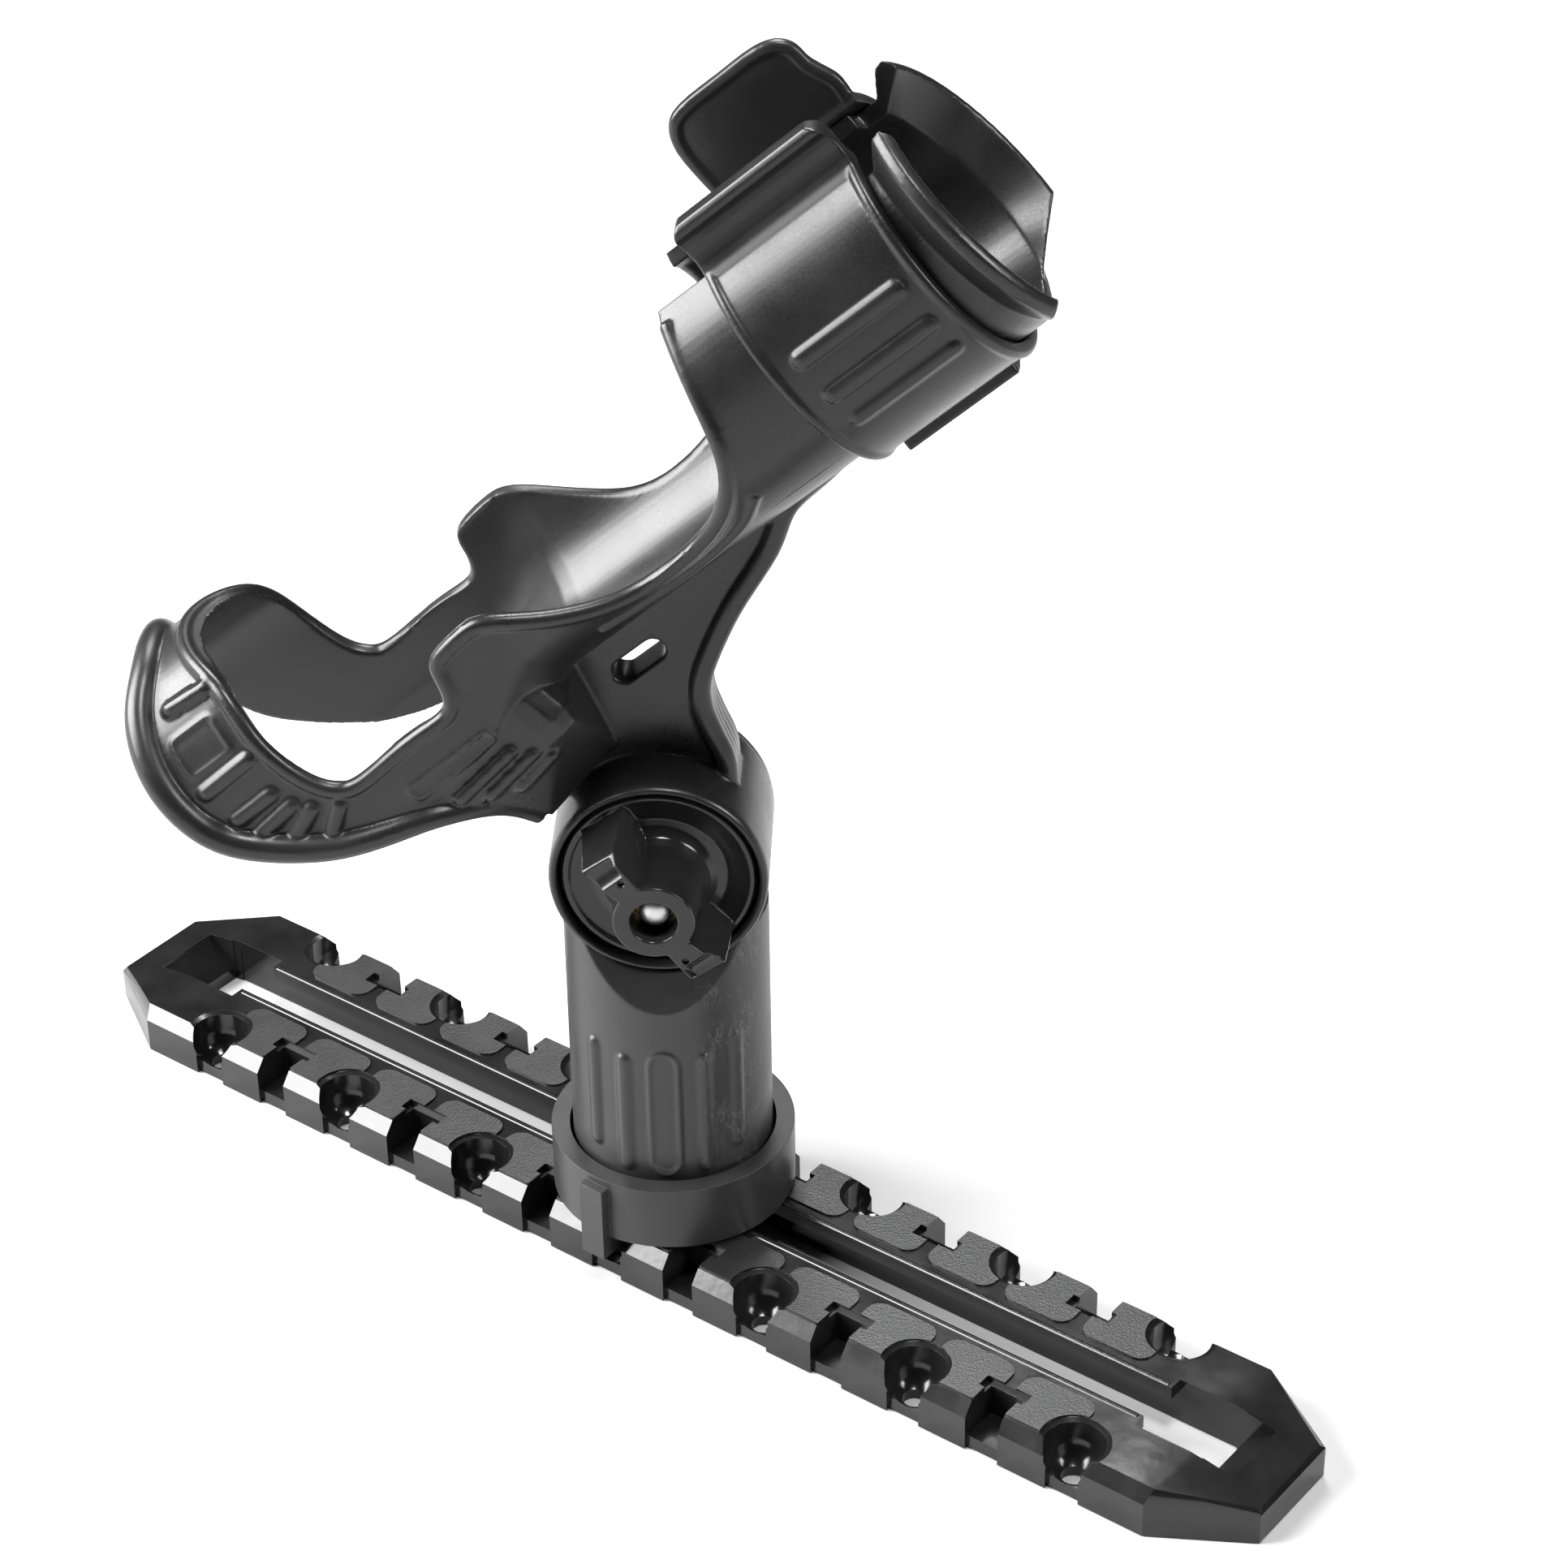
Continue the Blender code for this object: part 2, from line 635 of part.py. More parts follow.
def add_lips(cradle):
    """Flared lips at the mouth of the front tube, open at the bottom."""
    flare = [
        (22.0 * MM, 127 * MM), (TUBE_RADIUS, 127 * MM), (TUBE_RADIUS, 131.4 * MM), (30.2 * MM, 135.4 * MM),
        (30.4 * MM, 137.6 * MM), (29.0 * MM, 138.6 * MM), (22.0 * MM, 138.6 * MM),
    ]
    lip = turned(flare, SECTION_POINTS, "X")
    lean(lip)
    lip.transform(Matrix.Translation((0, 0, ROD_HEIGHT)))
    join(cradle, lip)
    cone = [(0, 130 * MM), (22.8 * MM, 130 * MM), (28.6 * MM, 140 * MM), (0, 140 * MM)]
    mouth = turned(cone, SECTION_POINTS, "X")
    lean(mouth)
    mouth.transform(Matrix.Translation((0, 0, ROD_HEIGHT)))
    cut(cradle, mouth)
    below = scaled([(133, 20), (133, 46), (142, 53), (150, 53), (150, 20)])
    cut(cradle, prism(below, -40 * MM, 40 * MM, "Y"))
    above = scaled([(130, 120), (130, 88), (150, 80), (150, 120)])
    cut(cradle, prism(above, -15.5 * MM, 15.5 * MM, "Y"))


def add_keel(cradle):
    """Keel plate under the trough, pierced by an oblong slot."""
    half = 4.5 * MM
    outline = scaled([
        (-14, 12), (-24, 30), (-26, 41), (-6, 43.2), (40, 43.4), (90, 44.6), (80, 42.2), (68.5, 41.2),
        (59.4, 35.9), (46, 30.8), (35.8, 25.7), (30, 21.8), (27.4, 16.8), (25.4, 8), (20, 2),
    ])
    join(cradle, prism(outline, -half, half, "Y"))
    radius, level = 2.3 * MM, 35.2 * MM
    front_end = arc((28.5 * MM, level), radius, -90, 90, 8)
    back_end = arc((21.0 * MM, level), radius, 90, 270, 8)
    cut(cradle, prism(front_end + back_end, -30 * MM, 30 * MM, "Y"))


def add_gusset(cradle):
    """Wedge that carries the two straps down to the barrel."""
    outline = (
        (-7.5, 14.5, 23.4), (-8.5, 17, 29.6), (-12, 21, 35), (-17.3, 24.3, 39.2), (-27, 24.4, 42.8),
        (-27, 25, 50), (-8, 24.5, 56), (12, 20.5, 54), (15.5, 17.5, 46.5), (10.5, 12, 32), (9, 5, 24),
    )
    corners = []
    for side in (-1, 1):
        for x, y, z in outline:
            corners.append((x * MM, side * y * MM, z * MM))
    join(cradle, hull(corners))


def add_barrel(cradle):
    """Tilt barrel across the keel's foot, with a dish for the knob."""
    front, back = -BARREL_FRONT, BARREL_BACK
    edge = 1.2 * MM
    outside = [
        (0, front + 2 * MM), (BARREL_RADIUS - edge, front), (BARREL_RADIUS, front + edge),
        (BARREL_RADIUS, back), (0, back),
    ]
    join(cradle, turned(outside, 64, "Y"))
    bore = BOLT_RADIUS + 0.3 * MM
    seat = 7.2 * MM
    dish = [
        (0, front - 5 * MM), (20.0 * MM, front - 5 * MM), (20.0 * MM, -KNOB_FLOOR), (bore, -KNOB_FLOOR),
        (bore, 2.0 * MM), (seat, 2.0 * MM), (seat, back + MM), (0, back + MM),
    ]
    cut(cradle, turned(dish, 48, "Y"))


# ---------------------------------------------------------------------- knob

def make_knob(parent, material, brass):
    """Wing knob: shallow cup, hub, and two wings that widen towards the rim."""
    back = -KNOB_FLOOR - 1.5 * MM - GAP
    rim = -15.9 * MM
    cup_floor = -14.2 * MM
    face = -31.5 * MM
    insert_start, insert_end = -24 * MM, back - 0.5 * MM
    insert_radius = 4.3 * MM
    profile = [
        (0, back), (19.4 * MM, back), (19.4 * MM, rim + 0.6 * MM), (18.8 * MM, rim), (17.6 * MM, rim),
        (16.4 * MM, cup_floor), (9.3 * MM, cup_floor), (7.9 * MM, face), (0, face),
    ]
    knob = to_object("wing_knob", turned(profile, 48, "Y"), parent, material)
    front, foot = face + 0.2 * MM, cup_floor + MM
    wing = (
        (-1.3, front, 3), (2.8, front, 3), (3.1, front, 15.4), (-3.7, front, 16),
        (-2.4, foot, 3), (3.2, foot, 3), (6.2, foot, 17.2), (-4.7, foot, 17.9),
    )
    for side in (-1, 1):
        join(knob, hull([(side * x * MM, level, side * z * MM) for x, level, z in wing]))
    cut(knob, pin(insert_radius + GAP, face - MM, back + MM, 24, "Y"))
    finish_shading(knob)
    sleeve = ring_profile(BOLT_RADIUS + 0.2 * MM, insert_radius, insert_start, insert_end)
    to_object("knob_insert", turned(sleeve, 24, "Y"), parent, brass)


# -------------------------------------------------------------------- collar

COLLAR_INNER = TUBE_RADIUS + 0.4 * MM
COLLAR_OUTER = 28.6 * MM
COLLAR_START = 92.3 * MM
COLLAR_END = 127.3 * MM


def make_collar(parent, material):
    """Open ring that turns on the front tube; its ends carry a thumb paddle and a grip."""
    gap = 25.5                      # half the opening, in degrees from +Z
    outer = arc((0, 0), COLLAR_OUTER, 90 + gap, 450 - gap, 48)
    inner = arc((0, 0), COLLAR_INNER, 450 - gap, 90 + gap, 48)
    ring = prism(outer + inner, COLLAR_START, COLLAR_END, "X")
    collar = to_object("retainer_collar", ring, parent, material)
    edge = (COLLAR_OUTER - MM) * math.sin(math.radians(gap))
    paddle = scaled([
        (96, 23.5), (125.8, 23.5), (127.3, 31), (126.6, 37), (122.8, 42), (119, 43.2), (101, 43.2),
        (97.2, 41.6), (95.2, 38), (94.6, 31),
    ])
    join(collar, prism(paddle, edge, edge + 3 * MM, "Y"))
    foot, top = 23.5 * MM, 34.5 * MM
    grip = [
        (-edge, foot), (-edge, top), (-edge - 4.2 * MM, top), (-edge - 5.0 * MM, top - 2 * MM),
        (-edge - 2.8 * MM, top - 3.5 * MM), (-edge - 2.6 * MM, foot),
    ]
    join(collar, prism(grip, COLLAR_START + 0.6 * MM, COLLAR_END - 2 * MM, "X"))
    under = arc((0, 0), 31.2 * MM, 258, 282, 6) + arc((0, 0), COLLAR_OUTER - MM, 282, 258, 6)
    join(collar, prism(under, COLLAR_START + 3 * MM, COLLAR_END - 6 * MM, "X"))
    finish_shading(collar)


# ------------------------------------------------------------------ assembly

def build():
    clear_scene()
    gloss = plastic("gloss_black", 0.012, 0.18)
    satin = plastic("satin_black", 0.018, 0.45)
    tough = plastic("acetal", 0.03, 0.4)
    steel = plastic("stainless", (0.6, 0.6, 0.6), 0.25, 1.0)
    wire = plastic("spring_steel", (0.45, 0.45, 0.47), 0.35, 1.0)
    brass = plastic("brass", (0.65, 0.5, 0.22), 0.35, 1.0)

    make_track(gloss)
    make_track_bolt(steel)
    make_base_ring(satin)
    make_base_fasteners(steel)
    make_index_ring(tough)
    make_snap_ring(wire)

    post_frame = frame_empty("post_frame", None, Matrix.Rotation(POST_AZIMUTH, 4, "Z"))
    make_post(post_frame, satin)
    make_plungers(post_frame, steel, wire)

    lift = Matrix.Translation((0, 0, AXIS_HEIGHT))
    knuckle_frame = frame_empty("knuckle_frame", post_frame, lift)
    make_tilt_bolt(knuckle_frame, steel)

    cradle_frame = frame_empty("cradle_frame", post_frame, lift @ Matrix.Rotation(-TILT, 4, "Y"))
    make_cradle(cradle_frame, satin)
    make_tilt_rings(cradle_frame, tough, steel, wire)
    make_knob(cradle_frame, gloss, brass)

    collar_frame = frame_empty("collar_frame", cradle_frame, Matrix.Translation((0, 0, ROD_HEIGHT)))
    make_collar(collar_frame, satin)


build()
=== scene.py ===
"""Studio scene of a track-mounted rod holder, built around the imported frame.

Lengths are in metres. +X runs along the track and +Z is up. Moulded parts are
built in the frame that they turn in, then placed and tied to their CAD body.
"""
import json
import math

import bmesh
import bpy
from mathutils import Matrix, Vector
from mathutils.bvhtree import BVHTree


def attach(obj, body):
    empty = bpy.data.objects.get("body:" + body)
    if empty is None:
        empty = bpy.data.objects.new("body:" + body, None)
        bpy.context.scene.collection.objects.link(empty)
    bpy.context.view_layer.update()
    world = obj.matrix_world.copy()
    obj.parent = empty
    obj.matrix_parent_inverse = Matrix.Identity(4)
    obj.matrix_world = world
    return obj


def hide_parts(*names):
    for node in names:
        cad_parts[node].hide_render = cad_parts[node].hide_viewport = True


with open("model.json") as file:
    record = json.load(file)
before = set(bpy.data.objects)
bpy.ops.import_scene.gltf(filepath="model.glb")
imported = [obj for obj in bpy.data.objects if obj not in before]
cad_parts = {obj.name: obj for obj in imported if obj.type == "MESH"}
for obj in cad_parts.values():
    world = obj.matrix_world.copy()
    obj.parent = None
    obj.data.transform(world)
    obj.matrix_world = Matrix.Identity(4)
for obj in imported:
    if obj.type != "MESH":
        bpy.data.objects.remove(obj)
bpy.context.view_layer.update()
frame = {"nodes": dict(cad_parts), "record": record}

MM = 0.001
TAU = 2.0 * math.pi

# Driving dimensions, the same as the frame's
PITCH = 38.1 * MM  # from screw hole to screw hole
HOLES_EACH_WAY = 3
RAIL_LENGTH = 304.6 * MM
RAIL_WIDTH = 47.2 * MM
RAIL_HEIGHT = 11.0 * MM
SLOT_HALF = 5.0 * MM  # half the T-slot's width at the top
POST_RADIUS = 20.9 * MM
POST_AZIMUTH = math.radians(35.0)
AXIS_HEIGHT = 97.7 * MM  # of the tilt axis over the floor
TILT = math.radians(39.5)
BARREL_RADIUS = 21.8 * MM
BARREL_FRONT = 17.5 * MM
BARREL_BACK = 12.3 * MM
ROD_HEIGHT = 69.0 * MM  # of the rod's axis over the tilt axis
TUBE_RADIUS = 26.0 * MM
WALL = 2.8 * MM
BOLT_RADIUS = 3.1 * MM

# Camera: place in metres, angles in degrees, lens and sensor in millimetres
CAMERA_PLACE = (0.43548, -0.52527, 0.54993)
CAMERA_AZIMUTH = 37.623
CAMERA_ELEVATION = 32.884
CAMERA_ROLL = -0.866
CAMERA_LENS = 93.87
CAMERA_SENSOR = 36.0

# Frames that the moulded parts are built in
POST_FRAME = Matrix.Rotation(POST_AZIMUTH, 4, "Z")
TILT_FRAME = POST_FRAME @ Matrix.Translation((0, 0, AXIS_HEIGHT))
CRADLE_FRAME = TILT_FRAME @ Matrix.Rotation(-TILT, 4, "Y")
COLLAR_FRAME = CRADLE_FRAME @ Matrix.Translation((0, 0, ROD_HEIGHT))

# Where u, v and level go, by the axis that a solid is extruded along or turned about
AXIS_ORDER = {
    "X": lambda u, v, level: (level, u, v),
    "Y": lambda u, v, level: (u, level, v),
    "Z": lambda u, v, level: (u, v, level),
}


# ---- mesh tools

def outward(bm):
    """Turn every face of a closed solid outwards."""
    bmesh.ops.recalc_face_normals(bm, faces=bm.faces)
    return bm


def moved(bm, offset):
    """Shift a solid, and give it back."""
    bm.transform(Matrix.Translation(offset))
    return bm


def join_rings(bm, rings, around=False, closed_rings=True):
    """Quads between neighbouring rings of vertices; around joins the last to the first."""
    for i in range(len(rings) if around else len(rings) - 1):
        here = rings[i]
        there = rings[(i + 1) % len(rings)]
        count = len(here)
        for k in range(count if closed_rings else count - 1):
            m = (k + 1) % count
            bm.faces.new((here[k], here[m], there[m], there[k]))


def prism(outline, low, high, axis="Z"):
    """Closed prism of a 2D outline: (x, y) along Z, (x, z) along Y, (y, z) along X."""
    order = AXIS_ORDER[axis]
    bm = bmesh.new()
    rings = []
    for level in (low, high):
        rings.append([bm.verts.new(order(u, v, level)) for u, v in outline])
    bm.faces.new(rings[0])
    bm.faces.new(rings[1])
    join_rings(bm, rings)
    return outward(bm)


def turned(profile, segments=96, axis="Z"):
    """Solid of a (radius, level) profile turned about an axis.

    A profile that starts and ends at radius 0 is capped with flat discs.
    """
    capped = profile[0][0] == 0
    rims = profile[1:-1] if capped else profile
    order = AXIS_ORDER[axis]
    bm = bmesh.new()
    columns = []
    for i in range(segments):
        u = math.cos(TAU * i / segments)
        v = math.sin(TAU * i / segments)
        columns.append([bm.verts.new(order(r * u, r * v, level)) for r, level in rims])
    join_rings(bm, columns, around=True, closed_rings=not capped)
    if capped:
        bm.faces.new([column[0] for column in columns])
        bm.faces.new([column[-1] for column in columns])
    return outward(bm)


def cylinder(radius, low, high, segments, axis="Z"):
    """Solid cylinder about an axis, between two levels."""
    return turned([(0, low), (radius, low), (radius, high), (0, high)], segments, axis)


def hull(points):
    """Convex solid round a set of points."""
    bm = bmesh.new()
    for point in points:
        bm.verts.new(point)
    bmesh.ops.convex_hull(bm, input=bm.verts)
    return outward(bm)


def block(low, high):
    """Box between two opposite corners."""
    outline = [(low[0], low[1]), (high[0], low[1]), (high[0], high[1]), (low[0], high[1])]
    return prism(outline, low[2], high[2])


def side_block(sign, along, out, up):
    """Box on one side of the X axis, from its (low, high) ranges in x, |y| and z."""
    near, far = sorted((sign * out[0], sign * out[1]))
    return block((along[0], near, up[0]), (along[1], far, up[1]))


def tube(path, radius, sides=12, closed=False):
    """Round bar along a path of points; the radius may be a list, one for each point."""
    bm = bmesh.new()
    rings = []
    count = len(path)
    normal = None
    for i, point in enumerate(path):
        if closed:
            ahead, behind = path[(i + 1) % count], path[i - 1]
        else:
            ahead, behind = path[min(i + 1, count - 1)], path[max(i - 1, 0)]
        tangent = (Vector(ahead) - Vector(behind)).normalized()
        if normal is None:
            normal = tangent.orthogonal()
        normal = (normal - tangent * normal.dot(tangent)).normalized()
        side = tangent.cross(normal)
        here = radius[i] if isinstance(radius, list) else radius
        ring = []
        for k in range(sides):
            angle = TAU * k / sides
            offset = here * (math.cos(angle) * normal + math.sin(angle) * side)
            ring.append(bm.verts.new(Vector(point) + offset))
        rings.append(ring)
    join_rings(bm, rings, around=closed)
    if not closed:
        bm.faces.new(rings[0])
        bm.faces.new(rings[-1])
    return outward(bm)


def ball(centre, radius, steps=6):
    """Points all over a ball."""
    points = []
    for i in range(steps + 1):
        polar = math.pi * i / steps
        for k in range(2 * steps):
            angle = math.pi * k / steps
            x = math.sin(polar) * math.cos(angle)
            y = math.sin(polar) * math.sin(angle)
            points.append(Vector(centre) + radius * Vector((x, y, math.cos(polar))))
    return points


def capsule(start, end, radius):
    """Hull of two balls, for raised ribs with round ends."""
    return hull(ball(start, radius) + ball(end, radius))


def merge(target, source):
    """Add one bmesh's faces to another, and free it."""
    mesh = bpy.data.meshes.new("part")
    source.to_mesh(mesh)
    source.free()
    target.from_mesh(mesh)
    bpy.data.meshes.remove(mesh)


def to_object(name, bm):
    """Object in the scene with a bmesh's faces; the bmesh is freed."""
    mesh = bpy.data.meshes.new(name)
    bm.to_mesh(mesh)
    bm.free()
    obj = bpy.data.objects.new(name, mesh)
    bpy.context.scene.collection.objects.link(obj)
    return obj


def evaluate(obj):
    """Apply an object's modifiers to its mesh."""
    bpy.context.view_layer.update()
    graph = bpy.context.evaluated_depsgraph_get()
    result = bpy.data.meshes.new_from_object(obj.evaluated_get(graph))
    obj.modifiers.clear()
    old = obj.data
    obj.data = result
    bpy.data.meshes.remove(old)


def combine(target, bm, operation):
    """Boolean a solid into the target, and weld vertices within a micrometre."""
    tool = to_object("tool", outward(bm))
    modifier = target.modifiers.new(operation, "BOOLEAN")
    modifier.operation = operation
    modifier.object = tool
    weld = target.modifiers.new("weld", "WELD")
    weld.merge_threshold = 0.001 * MM
    evaluate(target)
    bpy.data.objects.remove(tool)


def cut(target, bm):
    """Take a solid out of the target."""
    combine(target, bm, "DIFFERENCE")


def join(target, bm):
    """Unite a solid with the target."""
    combine(target, bm, "UNION")


def overlay(target, bm):
    """Lay a closed solid over the target; soften() melts the two together."""
    both = bmesh.new()
    both.from_mesh(target.data)
    merge(both, outward(bm))
    both.to_mesh(target.data)
    both.free()


def add_smoothing(obj, rounds):
    """Modifier that moves each vertex halfway to its neighbours' mean, some times over."""
    smoothing = obj.modifiers.new("smooth", "SMOOTH")
    smoothing.factor = 0.5
    smoothing.iterations = rounds


def soften(obj, voxel, rounds, most_faces=90000):
    """Fuse a rough solid into one skin and round off every edge, as moulding does."""
    remesh = obj.modifiers.new("remesh", "REMESH")
    remesh.mode = "VOXEL"
    remesh.voxel_size = voxel
    add_smoothing(obj, rounds)
    evaluate(obj)
    faces = len(obj.data.polygons)
    if faces > most_faces:
        obj.modifiers.new("decimate", "DECIMATE").ratio = most_faces / faces
        add_smoothing(obj, 3)
        evaluate(obj)
    obj.data.shade_smooth()


def crisp(obj, width, segments=2):
    """Merge flat areas, then round every sharp edge by a small bevel."""
    flat_angle, sharp_angle = math.radians(0.5), math.radians(28)
    bm = bmesh.new()
    bm.from_mesh(obj.data)
    bmesh.ops.dissolve_limit(bm, angle_limit=flat_angle, verts=bm.verts, edges=bm.edges)
    bm.to_mesh(obj.data)
    bm.free()
    bevel = obj.modifiers.new("bevel", "BEVEL")
    bevel.width = width
    bevel.segments = segments
    bevel.limit_method = "ANGLE"
    bevel.angle_limit = sharp_angle
    obj.data.shade_smooth()
    obj.modifiers.new("normals", "WEIGHTED_NORMAL").keep_sharp = True
    evaluate(obj)


def place(obj, material, matrix, body, node):
    """Finish a piece: its material, place and body, and the node that it stands in for."""
    obj.data.materials.append(material)
    obj.data.transform(matrix)
    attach(obj, body)
    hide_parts(node)


# ---- paths, outlines

def scaled(points):
    """Points given in millimetres, in metres."""
    return [tuple(value * MM for value in point) for point in points]


def smooth(t):
    """Ease from 0 to 1."""
    t = max(0.0, min(1.0, t))
    return t * t * (3.0 - 2.0 * t)


def arc(centre, radius, start, end, steps):
    """Points of an arc, from one angle to another in degrees."""
    points = []
    for i in range(steps + 1):
        angle = math.radians(start + (end - start) * i / steps)
        u = centre[0] + radius * math.cos(angle)
        v = centre[1] + radius * math.sin(angle)
        points.append((u, v))
    return points


def rounded(low, high, radius, steps=6):
    """Rectangle with round corners."""
    points = []
    corners = (
        (high[0], high[1], 0), (low[0], high[1], 90),
        (low[0], low[1], 180), (high[0], low[1], 270),
    )
    for x, y, start in corners:
        cx = x - radius if x == high[0] else x + radius
        cy = y - radius if y == high[1] else y + radius
        points += arc((cx, cy), radius, start, start + 90, steps)
    return points


def hexagon(radius):
    """Regular hexagon, by the radius of its corners."""
    return [(radius * math.cos(TAU * i / 6), radius * math.sin(TAU * i / 6)) for i in range(6)]


def with_more_points(outline, spacing):
    """Closed outline with extra points along its long sides."""
    result = []
    for (u0, v0), (u1, v1) in zip(outline, outline[1:] + outline[:1]):
        count = max(1, round(math.hypot(u1 - u0, v1 - v0) / spacing))
        for k in range(count):
            result.append((u0 + (u1 - u0) * k / count, v0 + (v1 - v0) * k / count))
    return result


def catmull_rom(a, b, c, d, t):
    """Value between b and c of the smooth curve through four values."""
    return 0.5 * (
        2 * b + (c - a) * t + (2 * a - 5 * b + 4 * c - d) * t ** 2
        + (3 * b - a - 3 * c + d) * t ** 3
    )


def curve_through(points, steps):
    """Open smooth curve through 2D or 3D points."""
    result = []
    last = len(points) - 1
    for i in range(last):
        around = (points[max(i - 1, 0)], points[i], points[i + 1], points[min(i + 2, last)])
        for k in range(steps):
            result.append(tuple(catmull_rom(*values, k / steps) for values in zip(*around)))
    result.append(points[-1])
    return result


def pulled_in(path, amount):
    """A side-view path moved sideways into the wall that it borders."""
    moved_path = []
    last = len(path) - 1
    for i, (u, v) in enumerate(path):
        before, after = path[max(i - 1, 0)], path[min(i + 1, last)]
        du, dv = after[0] - before[0], after[1] - before[1]
        length = math.hypot(du, dv)
        moved_path.append((u - dv / length * amount, v + du / length * amount))
    return moved_path


def relaxed(path, rounds):
    """Path with its kinks evened out and its ends kept."""
    for _ in range(rounds):
        inner = []
        for before, here, after in zip(path, path[1:], path[2:]):
            inner.append(tuple((a + 2.0 * b + c) / 4.0 for a, b, c in zip(before, here, after)))
        path = [path[0]] + inner + [path[-1]]
    return path


# ---- materials

# Noise scales, in features to a metre
CLOUDS = 60.0  # slow changes of tone across a moulding
SPECKS = 2600.0  # fine roughness of a moulded face
CLOUD_RANGE = (0.3, 0.7)  # values that most of a noise falls between


class Nodes:
    """Short helper for wiring a material."""

    def __init__(self, name):
        self.material = bpy.data.materials.new(name)
        self.material.use_nodes = True
        self.tree = self.material.node_tree
        self.shader = self.tree.nodes["Principled BSDF"]
        coordinates = self.tree.nodes.new("ShaderNodeTexCoord")
        self.place = coordinates.outputs["Object"]

    def node(self, kind, inputs=None, **settings):
        """New node with its settings, and its inputs linked or set."""
        made = self.tree.nodes.new(kind)
        for key, value in settings.items():
            setattr(made, key, value)
        for key, value in (inputs or {}).items():
            if isinstance(value, bpy.types.NodeSocket):
                self.tree.links.new(value, made.inputs[key])
            else:
                made.inputs[key].default_value = value
        return made

    def noise(self, scale, detail=3.0, roughness=0.5, vector=None):
        """Noise from 0 to 1 over the piece."""
        return self.node("ShaderNodeTexNoise", {
            "Vector": vector or self.place, "Scale": scale,
            "Detail": detail, "Roughness": roughness,
        }).outputs["Fac"]

    def ramp(self, value, low, high, out_low, out_high):
        """Value carried from one range to another, held at its ends."""
        return self.node("ShaderNodeMapRange", {
            "Value": value, "From Min": low, "From Max": high,
            "To Min": out_low, "To Max": out_high,
        }).outputs["Result"]

    def maths(self, operation, a, b):
        """One step of arithmetic."""
        return self.node("ShaderNodeMath", {0: a, 1: b}, operation=operation).outputs[0]

    def bump(self, height, distance, strength=1.0, normal=None):
        """Normal tipped by a height, on top of another normal if there is one."""
        inputs = {"Height": height, "Distance": distance, "Strength": strength}
        if normal:
            inputs["Normal"] = normal
        return self.node("ShaderNodeBump", inputs).outputs["Normal"]

    def grey(self, value):
        """Grey colour of a value."""
        channels = {"Red": value, "Green": value, "Blue": value}
        return self.node("ShaderNodeCombineColor", channels).outputs["Color"]

    def set(self, name, value):
        """Link or set one of the shader's inputs."""
        if isinstance(value, bpy.types.NodeSocket):
            self.tree.links.new(value, self.shader.inputs[name])
        else:
            self.shader.inputs[name].default_value = value


def moulded_black(name, grey, roughness, grain, grain_size):
    """Moulded black plastic: clouds of tone and fine grain (its depth in mm, size in m)."""
    n = Nodes(name)
    clouds = n.noise(CLOUDS, 4.0)
    fine = n.noise(1.0 / grain_size, 2.0)
    specks = n.noise(SPECKS, 1.0)
    n.set("Base Color", n.grey(n.ramp(clouds, *CLOUD_RANGE, grey * 0.8, grey * 1.25)))
    mottled = n.ramp(clouds, *CLOUD_RANGE, roughness - 0.05, roughness + 0.06)
    n.set("Roughness", n.maths("ADD", mottled, n.ramp(specks, 0.35, 0.65, -0.03, 0.03)))
    n.set("Specular IOR Level", 0.42)
    n.set("Normal", n.bump(fine, grain * MM))
    return n.material


def scuffed_black(name, grey, roughness):
    """Moulded black plastic with fine scratches on the post's exposed side."""
    n = Nodes(name)
    clouds = n.noise(CLOUDS, 4.0)
    fine = n.noise(2500.0, 2.0)
    across = POST_FRAME.col[0].xyz
    sideways = n.node("ShaderNodeVectorMath", {0: n.place, 1: across}, operation="DOT_PRODUCT")
    side = n.ramp(sideways.outputs["Value"], 4.0 * MM, 13.0 * MM, 0.0, 1.0)
    patches = n.ramp(n.noise(110.0, 2.0), 0.42, 0.62, 0.0, 1.0)
    upright = {"Vector": n.place, "Scale": (1.0, 1.0, 0.3)}
    stretched = n.node("ShaderNodeMapping", upright).outputs["Vector"]
    lines = n.noise(420.0, 5.0, 0.65, stretched)
    away = n.maths("ABSOLUTE", n.maths("SUBTRACT", lines, 0.5), 0.0)
    scuffed = n.maths("MULTIPLY", side, patches)
    scratches = n.maths("MULTIPLY", n.ramp(away, 0.0, 0.022, 1.0, 0.0), scuffed)
    base = n.ramp(clouds, *CLOUD_RANGE, grey * 0.85, grey * 1.2)
    n.set("Base Color", n.grey(n.maths("ADD", base, n.maths("MULTIPLY", scratches, 0.09))))
    mottled = n.ramp(clouds, *CLOUD_RANGE, roughness - 0.04, roughness + 0.05)
    n.set("Roughness", n.maths("ADD", mottled, n.maths("MULTIPLY", side, 0.08)))
    n.set("Specular IOR Level", 0.5)
    n.set("Normal", n.bump(scratches, 0.05 * MM, 1.0, n.bump(fine, 0.01 * MM)))
    return n.material


